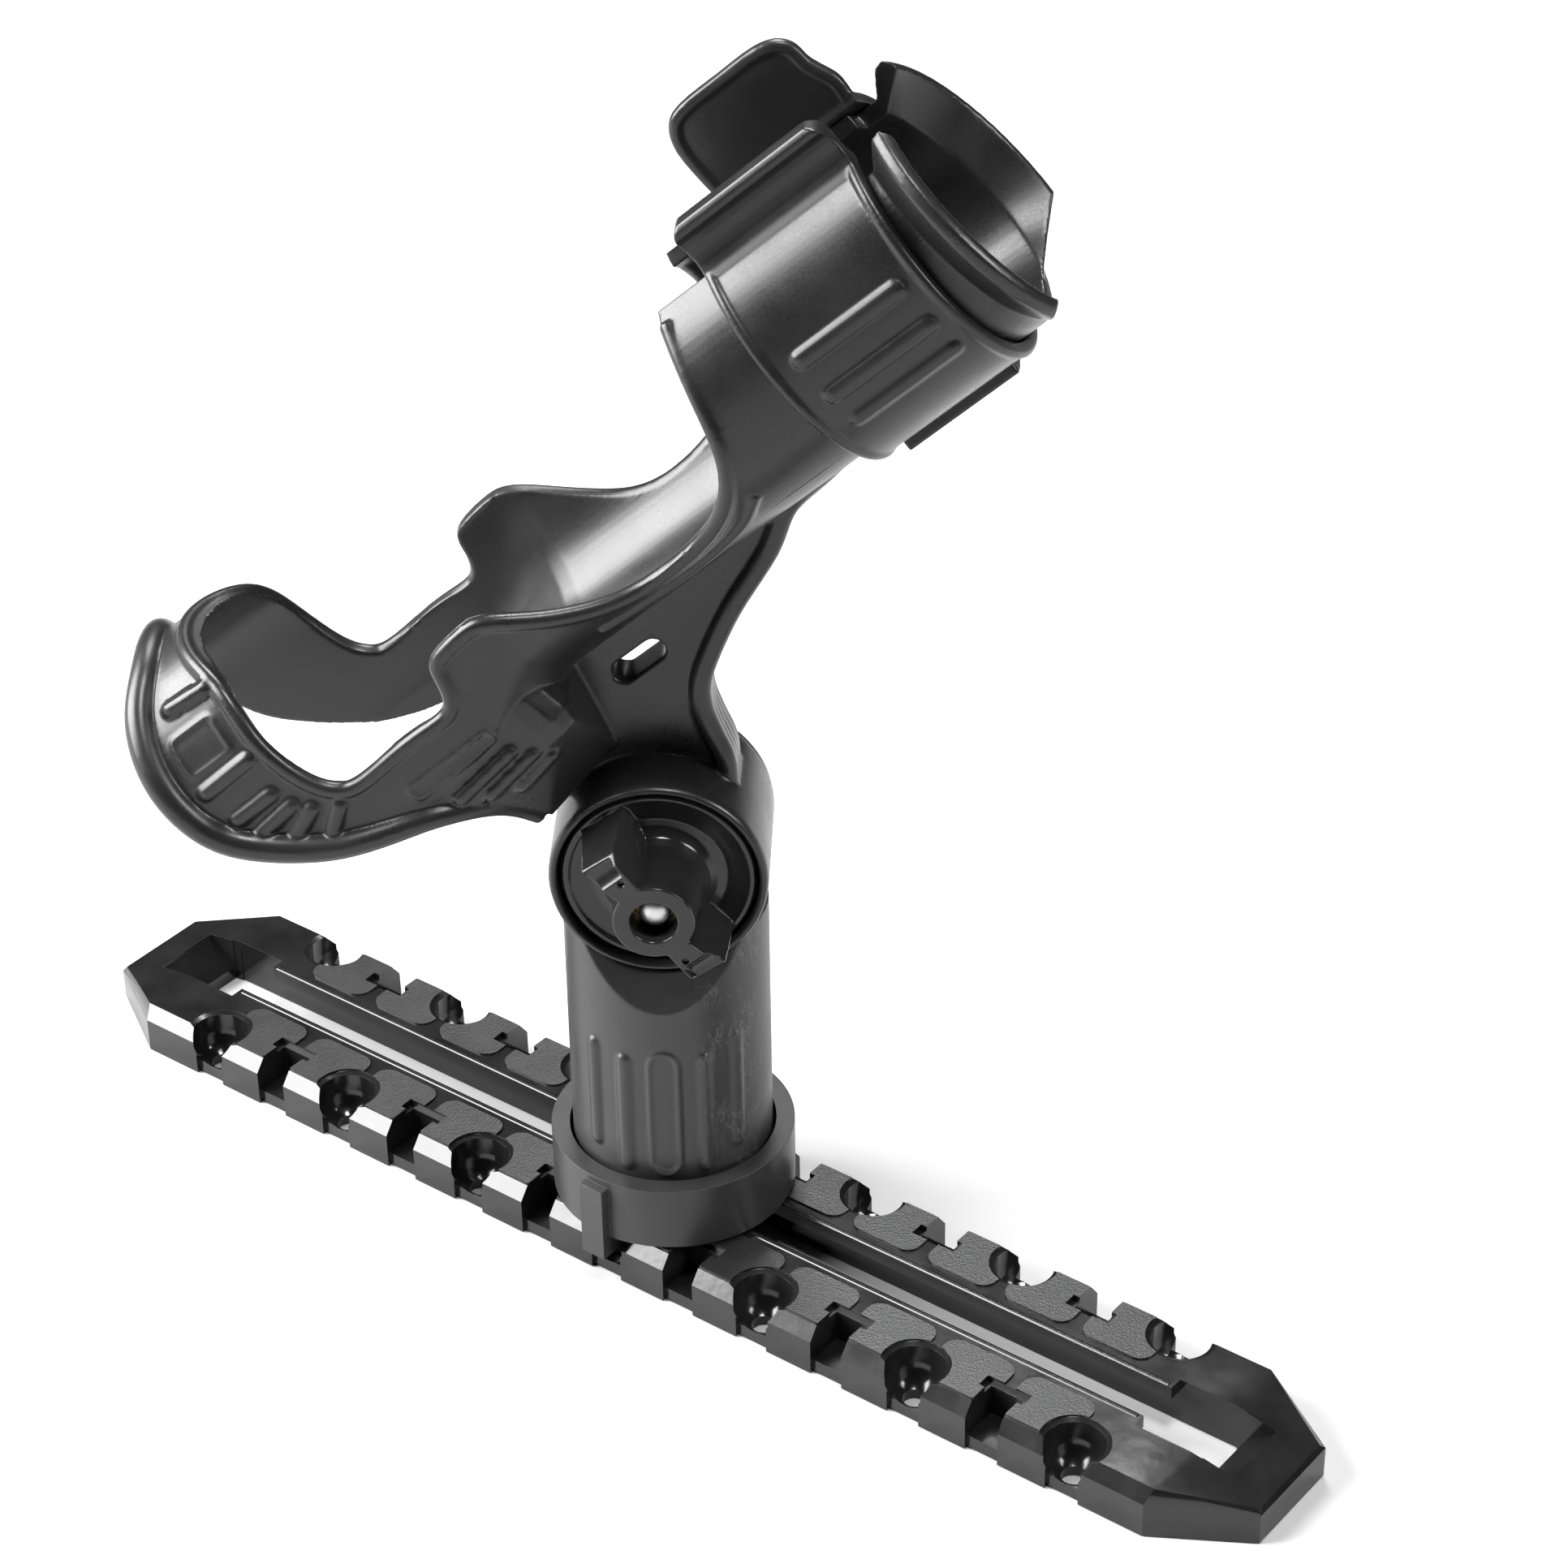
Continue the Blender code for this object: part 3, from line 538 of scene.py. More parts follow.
def track_black(name):
    """Glossy moulded black with a leather-like grain on the raised pads only."""
    n = Nodes(name)
    height = n.node("ShaderNodeSeparateXYZ", {"Vector": n.place}).outputs["Z"]
    pads = n.ramp(height, RAIL_HEIGHT + 0.22 * MM, RAIL_HEIGHT + 0.32 * MM, 0.0, 1.0)
    cell_inputs = {"Vector": n.place, "Scale": SPECKS, "Randomness": 1.0}
    cells = n.node("ShaderNodeTexVoronoi", cell_inputs, feature="SMOOTH_F1")
    grain = n.maths("MULTIPLY", cells.outputs["Distance"], pads)
    clouds = n.noise(90.0, 3.0)
    ripple = n.noise(300.0, 2.0)
    n.set("Base Color", n.grey(n.ramp(clouds, *CLOUD_RANGE, 0.006, 0.011)))
    glossy = n.ramp(clouds, *CLOUD_RANGE, 0.12, 0.19)
    n.set("Roughness", n.maths("ADD", glossy, n.maths("MULTIPLY", pads, 0.22)))
    n.set("Specular IOR Level", 0.5)
    gentle = n.bump(ripple, 0.02 * MM)
    n.set("Normal", n.bump(grain, 0.05 * MM, 1.0, gentle))
    return n.material


def metal(name, colour, roughness):
    """Bare metal with faint streaks."""
    n = Nodes(name)
    streaks = n.noise(900.0, 2.0)
    n.set("Base Color", (*colour, 1.0))
    n.set("Metallic", 1.0)
    n.set("Roughness", n.ramp(streaks, *CLOUD_RANGE, roughness - 0.06, roughness + 0.08))
    n.set("Normal", n.bump(streaks, 0.01 * MM))
    return n.material


# ---- track

END_TAPER = 19.3 * MM  # length of the taper at each end
NOSE_HALF = 12.0 * MM  # half width of each end face
LAND_EDGE = 21.3 * MM  # where the top's long bevels start
LIP_UNDERSIDE = 8.0 * MM  # of the lips over the T-slot's undercut
UNDERCUT_HALF = 8.6 * MM
PORT_START = 121.0 * MM  # loading port at each end of the slot
PORT_END = 136.5 * MM
PORT_HALF = 8.3 * MM
NOTCH_FLOOR = 3.0 * MM
NOTCH_HALF = 3.87 * MM
NOTCH_WALL = 14.5 * MM  # from the middle of the track to a notch's inner wall
HOLE_CENTRE = 19.2 * MM
COUNTERBORE = 6.2 * MM
SCREW_BORE = 2.6 * MM
PAD_HEIGHT = 0.45 * MM
BELOW_TRACK = -1.0 * MM  # levels that cutting solids start and end at
ABOVE_TRACK = RAIL_HEIGHT + 2.0 * MM


def track_body():
    """Bar with tapered ends and bevelled upper edges."""
    end = RAIL_LENGTH / 2
    side = RAIL_WIDTH / 2
    shoulder = end - END_TAPER
    bevel_level = RAIL_HEIGHT - 3.0 * MM
    points = []
    for sx in (-1, 1):
        for sy in (-1, 1):
            points.append((sx * shoulder, sy * side, 0.0))
            points.append((sx * end, sy * NOSE_HALF, 0.0))
            points.append((sx * shoulder, sy * side, bevel_level))
            points.append((sx * end, sy * NOSE_HALF, bevel_level - 1.0 * MM))
            points.append((sx * (shoulder + 1.0 * MM), sy * LAND_EDGE, RAIL_HEIGHT))
            points.append((sx * (end - 0.8 * MM), sy * (NOSE_HALF - 1.0 * MM), bevel_level))
    return hull(points)


def add_pads(track):
    """Raised pads, two to each pitch, in a row on each side of the slot."""
    gap = 1.4 * MM
    inner, outer = 7.9 * MM, LAND_EDGE - 0.3 * MM
    for sign in (-1, 1):
        for k in range(-2 * HOLES_EACH_WAY, 2 * HOLES_EACH_WAY):
            start = k * PITCH / 2 + gap
            end = (k + 1) * PITCH / 2 - gap
            outline = rounded((start, inner), (end, outer), 3.2 * MM)
            outline = [(x, sign * y) for x, y in outline]
            join(track, prism(outline, RAIL_HEIGHT - MM, RAIL_HEIGHT + PAD_HEIGHT))


def add_slot_beads(track):
    """Low round bead along each side of the slot, from port to port."""
    end = PORT_START - MM
    for sign in (-1, 1):
        centre = (sign * (SLOT_HALF + 0.75 * MM), RAIL_HEIGHT - 0.55 * MM)
        join(track, prism(arc(centre, 0.85 * MM, 0, 330, 11), -end, end, "X"))


def cut_slot(track):
    """T-slot with a cross-tie under its middle, and a port with a ramp at each end."""
    slot_end = PORT_END - 2.0 * MM
    slot_floor = LIP_UNDERSIDE - 0.5 * MM
    cut(track, block((-slot_end, -SLOT_HALF, slot_floor), (slot_end, SLOT_HALF, ABOVE_TRACK)))
    tie, tie_height = 8.0 * MM, 2.0 * MM
    undercut = [
        (-slot_end, BELOW_TRACK), (-tie, BELOW_TRACK), (-tie, tie_height), (tie, tie_height),
        (tie, BELOW_TRACK), (slot_end, BELOW_TRACK), (slot_end, LIP_UNDERSIDE),
        (-slot_end, LIP_UNDERSIDE),
    ]
    cut(track, prism(undercut, -UNDERCUT_HALF, UNDERCUT_HALF, "Y"))
    ramp_start, ramp_end = PORT_END - MM, 143.5 * MM
    ramp_half = PORT_HALF - 0.3 * MM
    for sign in (-1, 1):
        near, far = sorted((sign * PORT_START, sign * PORT_END))
        cut(track, block((near, -PORT_HALF, BELOW_TRACK), (far, PORT_HALF, ABOVE_TRACK)))
        ramp = [
            (sign * ramp_start, 2.4 * MM), (sign * ramp_end, 8.6 * MM),
            (sign * ramp_end, ABOVE_TRACK), (sign * ramp_start, ABOVE_TRACK),
        ]
        cut(track, prism(ramp, -ramp_half, ramp_half, "Y"))


def screw_pocket():
    """Cutter for a countersunk screw hole, with a bevel round its mouth."""
    mouth = 7.3 * MM
    return turned([
        (0, BELOW_TRACK), (SCREW_BORE, BELOW_TRACK), (SCREW_BORE, 2.2 * MM), (4.3 * MM, 3.2 * MM),
        (5.4 * MM, 4.6 * MM), (COUNTERBORE, 6.6 * MM), (COUNTERBORE, RAIL_HEIGHT - 0.5 * MM),
        (mouth, RAIL_HEIGHT - 0.1 * MM), (mouth, ABOVE_TRACK), (0, ABOVE_TRACK),
    ], 48)


def cut_edges(track):
    """Screw pockets, index notches, and the shallow relief below each."""
    outside = RAIL_WIDTH / 2 + 1.0 * MM
    relief = (RAIL_WIDTH / 2 - 0.9 * MM, outside)
    relief_up = (BELOW_TRACK, NOTCH_FLOOR + MM)
    notch_up = (NOTCH_FLOOR, ABOVE_TRACK)
    step = (NOTCH_WALL - 0.9 * MM, NOTCH_WALL + 2.4 * MM)
    step_half = NOTCH_HALF + 1.4 * MM
    step_up = (RAIL_HEIGHT - 1.0 * MM, ABOVE_TRACK)
    for sign in (-1, 1):
        for k in range(-HOLES_EACH_WAY, HOLES_EACH_WAY + 1):
            x = k * PITCH
            width = (x - NOTCH_HALF, x + NOTCH_HALF)
            cut(track, moved(screw_pocket(), (x, sign * HOLE_CENTRE, 0.0)))
            cut(track, side_block(sign, width, (HOLE_CENTRE, outside), notch_up))
            cut(track, side_block(sign, width, relief, relief_up))
        for k in range(-HOLES_EACH_WAY, HOLES_EACH_WAY):
            x = (k + 0.5) * PITCH
            width = (x - NOTCH_HALF, x + NOTCH_HALF)
            cut(track, side_block(sign, width, (NOTCH_WALL, outside), notch_up))
            cut(track, side_block(sign, (x - step_half, x + step_half), step, step_up))
            cut(track, side_block(sign, width, relief, relief_up))


def make_track(material):
    """The whole track, in one piece."""
    track = to_object("track", track_body())
    add_pads(track)
    add_slot_beads(track)
    cut_slot(track)
    cut_edges(track)
    crisp(track, 0.3 * MM)
    place(track, material, Matrix(), "rail", "track_rail")


# ---- base

RING_OUTER = 25.5 * MM
RING_INNER = 21.6 * MM
RING_TOP = 26.6 * MM
RING_BOTTOM = 12.2 * MM
BASE_FLOOR = 15.5 * MM
FOOT_RADIUS = 14.0 * MM  # of the foot that stands on the track
HUB_RADIUS = 11.0 * MM
HUB_BORE = 8.2 * MM
HUB_TOP = 37.5 * MM
CLIP_LOW = 34.3 * MM  # groove for the snap ring
CLIP_HIGH = 36.1 * MM
CLIP_GROOVE = 10.1 * MM


def make_base(material):
    """Cup with a hub for the post, and an index tab on each side."""
    bolt_way = BOLT_RADIUS + 0.3 * MM
    underside = RAIL_HEIGHT + 0.3 * MM
    profile = [
        (bolt_way, underside), (FOOT_RADIUS, underside), (FOOT_RADIUS, RING_BOTTOM),
        (RING_OUTER, RING_BOTTOM), (RING_OUTER, RING_TOP), (RING_INNER, RING_TOP),
        (RING_INNER, BASE_FLOOR), (HUB_RADIUS, BASE_FLOOR), (HUB_RADIUS, CLIP_LOW),
        (CLIP_GROOVE, CLIP_LOW), (CLIP_GROOVE, CLIP_HIGH), (HUB_RADIUS, CLIP_HIGH),
        (HUB_RADIUS, HUB_TOP), (HUB_BORE, HUB_TOP), (HUB_BORE, BASE_FLOOR),
        (bolt_way, BASE_FLOOR),
    ]
    base = to_object("base_cup", turned(profile, 160))
    upright = {"along": (-2.9 * MM, 2.9 * MM), "out": (24.0 * MM, 27.5 * MM),
               "up": (7.5 * MM, RING_TOP - 1.6 * MM)}
    tooth = {"along": (-2.7 * MM, 2.7 * MM), "out": (15.6 * MM, 26.0 * MM),
             "up": (7.7 * MM, 13.0 * MM)}
    for sign in (-1, 1):
        join(base, side_block(sign, **upright))
        join(base, side_block(sign, **tooth))
    crisp(base, 0.8 * MM, 3)
    place(base, material, Matrix(), "base", "base_ring")


# ---- post

POST_BOTTOM = 16.0 * MM
POST_TOP = 83.0 * MM  # of the round post, under the knuckle
CAVITY_RADIUS = 17.6 * MM
CAVITY_TOP = 62.0 * MM
KNUCKLE_FRONT = BARREL_BACK + 0.3 * MM
KNUCKLE_RADIUS = BARREL_RADIUS - 0.3 * MM
SADDLE_RADIUS = BARREL_RADIUS + 0.6 * MM
FACET_SLOPE = 1.85  # of the slanted face under the barrel's front
FACET_LEVEL = 106.6 * MM  # where that face would reach the post's middle
PLUNGER_WAY = 2.05 * MM  # bore for each detent plunger
PLUNGER_PLACE = 14.6 * MM


def on_tilt_axis(bm):
    """Raise a solid to the height of the tilt axis."""
    return moved(bm, (0, 0, AXIS_HEIGHT))


def add_knuckle(post):
    """Rear knuckle on two cheeks."""
    disc = [
        (0, KNUCKLE_FRONT - 2 * MM), (KNUCKLE_RADIUS, KNUCKLE_FRONT - 2 * MM),
        (KNUCKLE_RADIUS, KNUCKLE_FRONT + MM), (20.6 * MM, 15.6 * MM), (19.4 * MM, 17.8 * MM),
        (17.4 * MM, 19.6 * MM), (15.0 * MM, 20.5 * MM), (0, 20.5 * MM),
    ]
    join(post, on_tilt_axis(turned(disc, 96, "Y")))
    cheek = scaled([(-19.0, 76.0), (19.0, 76.0), (19.5, 97.7), (-19.5, 97.7)])
    join(post, prism(cheek, KNUCKLE_FRONT - MM, 17.0 * MM, "Y"))


def cut_saddle(post):
    """Seat for the barrel, and the slanted face in front of it."""
    cut(post, on_tilt_axis(cylinder(SADDLE_RADIUS, -30 * MM, KNUCKLE_FRONT, 128, "Y")))
    low, high, outside = 60.0 * MM, 100.0 * MM, 40 * MM
    facet = [
        (-(FACET_LEVEL - low) / FACET_SLOPE, low), (-outside, low), (-outside, high),
        (-(FACET_LEVEL - high) / FACET_SLOPE, high),
    ]
    cut(post, prism(facet, -outside, outside, "X"))


def make_post(material):
    """Hollow post with a snap ring seat, knuckle, saddle and bores."""
    profile = [
        (0, CAVITY_TOP), (CAVITY_RADIUS, CAVITY_TOP), (CAVITY_RADIUS, POST_BOTTOM),
        (POST_RADIUS - 0.6 * MM, POST_BOTTOM), (POST_RADIUS, POST_BOTTOM + 0.6 * MM),
        (POST_RADIUS, POST_TOP), (0, POST_TOP),
    ]
    post = to_object("post", turned(profile, 128))
    seat_inner, seat_outer = HUB_RADIUS + 0.3 * MM, CAVITY_RADIUS + MM
    seat_low, seat_high = 29.5 * MM, 34.0 * MM
    join(post, turned([
        (seat_inner, seat_low), (seat_outer, seat_low), (seat_outer, seat_high),
        (seat_inner, seat_high),
    ], 96))
    add_knuckle(post)
    cut_saddle(post)
    behind = 30 * MM
    cut(post, on_tilt_axis(cylinder(BOLT_RADIUS + 0.2 * MM, 5 * MM, behind, 48, "Y")))
    cut(post, on_tilt_axis(prism(hexagon(6.0 * MM), 16.4 * MM, behind, "Y")))
    for sign in (-1, 1):
        way = cylinder(PLUNGER_WAY, POST_BOTTOM - MM, 35 * MM, 24)
        cut(post, moved(way, (sign * PLUNGER_PLACE, 0, 0)))
    add_post_ribs(post)
    soften(post, 0.33 * MM, 3)
    place(post, material, POST_FRAME, "post", "post_tube")


def add_post_ribs(post):
    """Two upright ribs on each side of a blank, framed label panel."""
    radius = POST_RADIUS - 0.9 * MM
    ribs = ((-133.5, 33, 57), (-113, 29.5, 55.5), (-67, 29.5, 56), (-46, 33, 59))
    for degrees, low, high in ribs:  # the levels are in millimetres
        angle = math.radians(degrees)
        x, y = radius * math.cos(angle), radius * math.sin(angle)
        overlay(post, capsule((x, y, low * MM), (x, y, high * MM), 2.0 * MM))
    front, half_angle = math.radians(-90), math.radians(8.0)  # of the label panel
    low, high, crown = 31.0 * MM, 55.0 * MM, 3.2 * MM
    path = []
    for sign, level in ((1, high), (-1, low)):
        for i in range(13):
            turn = math.pi * i / 12
            angle = front + sign * half_angle * math.cos(turn)
            z = level + sign * crown * math.sin(turn)
            path.append((POST_RADIUS * math.cos(angle), POST_RADIUS * math.sin(angle), z))
    overlay(post, tube(path, 0.55 * MM, 10, closed=True))


def make_tilt_bolt(steel):
    """Through bolt with a domed end, and a hexagon head behind."""
    tip, neck, back = -28.8 * MM, -27.4 * MM, 20 * MM
    profile = [(0, back), (BOLT_RADIUS, back)]
    for across, along in arc((0, 0), 1.0, 0, 90, 8):
        profile.append((max(BOLT_RADIUS * across, 0.02 * MM), neck + (tip - neck) * along))
    profile.append((0, tip))
    bolt = to_object("bolt", turned(profile, 64, "Y"))
    join(bolt, prism(hexagon(5.7 * MM), 17.2 * MM, 20.2 * MM, "Y"))
    crisp(bolt, 0.25 * MM)
    place(bolt, steel, TILT_FRAME, "post", "tilt_bolt")


# ---- cradle

SECTION_POINTS = 96
SECTION_STEP = 4 * MM  # between cross-sections of the shell
TUBE_END = 133 * MM
MOUTH_SLOPE = 0.12  # lean of the tube's mouth
SLOT_IN_TUBE = 12 * MM  # half width of the slot along the tube's top
SLOT_IN_MOUTH = 15.5 * MM

# The edges are side views, as (x, z) in millimetres from the tilt axis
WINDOW_EDGE = [  # opening over the trough, front to back
    (87, 112), (80, 93), (77.5, 80), (75, 70), (71.5, 63.5), (66, 58.2), (59, 55.2), (51, 54),
    (44, 54), (37.5, 55.6), (32, 58.6), (26.5, 62.4), (20.5, 67.4), (17, 69.6), (13.5, 70.4),
    (5.5, 69.4), (2.6, 67.4), (1.2, 62.6), (-0.6, 59.6), (-3.5, 58.6), (-12, 59.2),
    (-25, 57.9), (-28.6, 59.2), (-31.2, 62.2), (-32.9, 67.6), (-33.8, 75), (-33.6, 81.4),
    (-34, 86.5), (-36, 90.5), (-39, 94), (-41, 98), (-41, 112),
]
REAR_EDGE = [  # the strap's back and lower edge, top to bottom
    (-50.5, 112), (-51.5, 98), (-54.5, 95), (-57, 91), (-58.8, 85), (-59.5, 77.5),
    (-58.8, 67.5), (-54.8, 59.8), (-47.2, 52.4), (-39, 46.6), (-30.7, 43), (-24.8, 41.4),
    (-17.3, 39.3), (-12, 35.2), (-8.5, 29.8), (-7, 20), (-7, 10),
]
HEM = [  # 3D, from the barrel up to where the strap begins
    (-9, 14, 25), (-10, 17.2, 31), (-12.4, 20.8, 36), (-16.5, 24.0, 40.2), (-22, 25.6, 43.4),
    (-28, 26.2, 45.4),
]


def section_sizes(x, inset):
    """Half width, centre height, rise, drop and lower power of the cradle's section."""
    t = smooth((x + 25 * MM) / (45 * MM))
    half = TUBE_RADIUS + 0.4 * MM * (1 - t) - inset
    centre = ROD_HEIGHT + 1.2 * MM * (1 - t)
    rise = TUBE_RADIUS - 0.8 * MM * (1 - t) - inset
    drop = TUBE_RADIUS + 4.6 * MM * (1 - t) - inset
    power = 8.0 * (1 - t) + 2.0 * t
    return half, centre, rise, drop, power


def section(x, inset):
    """Closed cross-section of the cradle's shell at x, as (y, z) points."""
    half, centre, rise, drop, power = section_sizes(x, inset)
    points = []
    for i in range(SECTION_POINTS):
        angle = TAU * i / SECTION_POINTS
        c, s = math.cos(angle), math.sin(angle)
        if s >= 0:
            points.append((half * c, centre + rise * s))
        else:
            across = math.copysign(abs(c) ** (2 / power), c)
            points.append((half * across, centre - drop * abs(s) ** (2 / power)))
    return points


def half_width(x, z, inset):
    """Half width of the shell at height z, or 0 above and below it."""
    half, centre, rise, drop, power = section_sizes(x, inset)
    if z >= centre:
        ratio, power = (z - centre) / rise, 2.0
    else:
        ratio = (centre - z) / drop
    return half * max(0.0, 1.0 - ratio ** power) ** (1 / power)


def shell_solid(start, end, inset):
    """Solid along the rod, whose sections are the shell's, drawn in by the inset."""
    bm = bmesh.new()
    count = max(1, round((end - start) / SECTION_STEP))
    rings = []
    for i in range(count + 1):
        x = start + (end - start) * i / count
        rings.append([bm.verts.new((x, y, z)) for y, z in section(x, inset)])
    join_rings(bm, rings)
    bm.faces.new(rings[0])
    bm.faces.new(rings[-1])
    return outward(bm)


def make_cradle(material):
    """One moulding: rear strap, trough, front tube, keel and tilt barrel."""
    cradle = to_object("cradle_moulding", shell_solid(-62 * MM, TUBE_END, 0.0))
    add_lips(cradle)
    add_gusset(cradle)
    cut(cradle, shell_solid(-72 * MM, 150 * MM, WALL))
    cut(cradle, beyond_edge(WINDOW_EDGE, []))
    add_keel(cradle)
    cut(cradle, beyond_edge(REAR_EDGE, [(-80, 10), (-80, 112)]))
    cut_slots(cradle)
    add_barrel(cradle)
    add_keel_flange(cradle)
    add_beads(cradle)
    add_cradle_ribs(cradle)
    soften(cradle, 0.38 * MM, 7, 150000)
    place(cradle, material, CRADLE_FRAME, "cradle", "cradle")


def lean(bm):
    """Shear a solid along the rod, as the mouth of the tube leans."""
    for vert in bm.verts:
        vert.co.x -= MOUTH_SLOPE * vert.co.z
    return bm


def add_lips(cradle):
    """Flared lips at the mouth of the front tube, open at the bottom and the top."""
    on_rod = (0, 0, ROD_HEIGHT)
    flare = [
        (22.0 * MM, 127 * MM), (TUBE_RADIUS, 127 * MM), (TUBE_RADIUS, 131.4 * MM),
        *scaled([(28.3, 133.6), (30.2, 135.6), (30.4, 137.6), (29, 138.6), (22, 138.6)]),
    ]
    join(cradle, moved(lean(turned(flare, SECTION_POINTS, "X")), on_rod))
    mouth = scaled([(0, 130), (22.8, 130), (28.6, 140), (0, 140)])
    cut(cradle, moved(lean(turned(mouth, SECTION_POINTS, "X")), on_rod))
    below = scaled([(133, 20), (133, 46), (142, 53), (150, 53), (150, 20)])
    cut(cradle, prism(below, -40 * MM, 40 * MM, "Y"))
    above = scaled([(130, 120), (130, 88), (150, 80), (150, 120)])
    cut(cradle, prism(above, -SLOT_IN_MOUTH, SLOT_IN_MOUTH, "Y"))


def add_gusset(cradle):
    """Wedge that carries the two straps down to the barrel, ending in a rounded step."""
    sketch = [
        (-7.5, 14.5, 23.4), (-8.5, 17, 29.6), (-12, 21.4, 35), (-17.3, 24.6, 39.2),
        (-27, 25.2, 42.8), (-27, 25.6, 50), (-8, 25.2, 55), (9, 5, 24),
    ]
    mounds = [((6.4, 15.6, 49.6), 7.4), ((6.8, 14.8, 42.4), 7.4), ((4.6, 8.0, 32.0), 5.6)]
    corners = []
    for side in (-1, 1):
        for x, y, z in sketch:
            corners.append((x * MM, side * y * MM, z * MM))
        for (x, y, z), radius in mounds:
            corners += ball((x * MM, side * y * MM, z * MM), radius * MM)
    join(cradle, hull(corners))


def beyond_edge(edge, corners):
    """Cutter across the cradle, of a smooth side-view edge closed by straight corners."""
    outline = curve_through(scaled(edge), 4) + scaled(corners)
    return prism(outline, -45 * MM, 45 * MM, "Y")


def cut_slots(cradle):
    """Clear the space between the straps, and slot the tube along its top."""
    between = 22.8 * MM
    cut(cradle, block((-65 * MM, -between, 37 * MM), (-8 * MM, between, 55 * MM)))
    low, high, end = 80 * MM, 110 * MM, 150 * MM
    cut(cradle, block((70 * MM, -SLOT_IN_TUBE, low), (end, SLOT_IN_TUBE, high)))
    cut(cradle, block((124 * MM, -SLOT_IN_MOUTH, low), (end, SLOT_IN_MOUTH, high)))


def add_keel(cradle):
    """Keel plate under the trough, with an oblong slot."""
    half = 4.5 * MM
    outline = scaled([
        (-14, 12), (-24, 30), (-26, 41), (-6, 43.2), (40, 43.4), (90, 44.6), (80, 42.2),
        (68.5, 41.2), (59.4, 35.9), (46, 30.8), (35.8, 25.7), (30, 21.8), (27.4, 16.8),
        (25.4, 8), (20, 2),
    ])
    join(cradle, prism(outline, -half, half, "Y"))
    radius, level = 2.4 * MM, 35.2 * MM
    slot = arc((28.5 * MM, level), radius, -90, 90, 16)
    slot += arc((21 * MM, level), radius, 90, 270, 16)
    cut(cradle, prism(slot, -30 * MM, 30 * MM, "Y"))


def add_keel_flange(cradle):
    """Rounded flange down the keel's front edge, of bars side by side."""
    edge = scaled([
        (88, 45.5), (79, 44.6), (69.5, 43.4), (60.2, 38.2), (46.6, 33.0), (36.6, 27.9),
        (31.0, 24.0), (27.6, 19.5), (25.4, 14), (23.4, 8), (20, 3),
    ])
    path = curve_through(edge, 5)
    for y in (-4.4, -2.2, 0, 2.2, 4.4):
        overlay(cradle, tube([(x, y * MM, z) for x, z in path], 2.2 * MM, 16))


def add_barrel(cradle):
    """Tilt barrel across the keel's foot, with a dish for the knob."""
    front, back = -BARREL_FRONT, BARREL_BACK
    outside = [
        (0, front), (BARREL_RADIUS - 1.4 * MM, front),
        (BARREL_RADIUS - 0.6 * MM, front + 0.4 * MM),
        (BARREL_RADIUS - 0.1 * MM, front + 1.2 * MM), (BARREL_RADIUS, front + 2.4 * MM),
        (BARREL_RADIUS, back), (0, back),
    ]
    join(cradle, turned(outside, 128, "Y"))
    bore, seat, floor = BOLT_RADIUS + 0.3 * MM, 7.2 * MM, -6.5 * MM
    mouth, wall = 20.6 * MM, 20.0 * MM
    dish = [
        (0, front - 5 * MM), (mouth, front - 5 * MM), (mouth, front),
        (wall, front + 0.9 * MM), (wall, floor), (bore, floor), (bore, 2.0 * MM),
        (seat, 2.0 * MM), (seat, back + MM), (0, back + MM),
    ]
    cut(cradle, turned(dish, 96, "Y"))


def edge_path(points, inset, side):
    """Points of a side-view edge laid on one side of the shell, in 3D."""
    return [(x, side * half_width(x, z, inset), z) for x, z in points]


def edge_at(points, z):
    """Where a side-view edge crosses a height, by its last crossing."""
    found = points[0][0]
    for (x0, z0), (x1, z1) in zip(points, points[1:]):
        if min(z0, z1) <= z <= max(z0, z1) and z0 != z1:
            found = x0 + (x1 - x0) * (z - z0) / (z1 - z0)
    return found


def hoop_path(points, inset, steps=60):
    """Edge of the strap: up the near side, over the crown and down the far side."""
    shoulder = ROD_HEIGHT + 4 * MM
    side = [p for p in points if p[1] <= shoulder or p[0] > 0]
    crown = [p for p in points if p[1] > shoulder and p[0] < 0]
    half, centre, rise, _, _ = section_sizes(-40 * MM, inset)
    over = []
    for i in range(steps + 1):
        angle = math.pi * (0.055 + 0.89 * i / steps)
        z = centre + rise * math.sin(angle)
        over.append((edge_at(crown, z), -half * math.cos(angle), z))
    near = edge_path(side, inset, -1)
    far = edge_path(side, inset, 1)
    far.reverse()
    return relaxed(near + over + far, 8)


def add_beads(cradle):
    """Round beads along the trough's opening, the rear strap and the foot of the walls."""
    window = pulled_in(curve_through(scaled(WINDOW_EDGE), 5), 1.3 * MM)
    highest = ROD_HEIGHT + 22 * MM
    front = [p for p in window if p[0] < 81 * MM and p[1] < highest or p[0] < 0]
    overlay(cradle, tube(hoop_path(front, 0.8 * MM), 1.75 * MM, 16))
    add_rear_flange(cradle)
    foot = scaled([(30, 51), (36, 50), (44, 49.4), (52, 49.2), (60, 50), (67, 52), (73, 56)])
    for side in (-1, 1):
        overlay(cradle, tube(edge_path(curve_through(foot, 5), 0.5 * MM, side), 1.4 * MM))


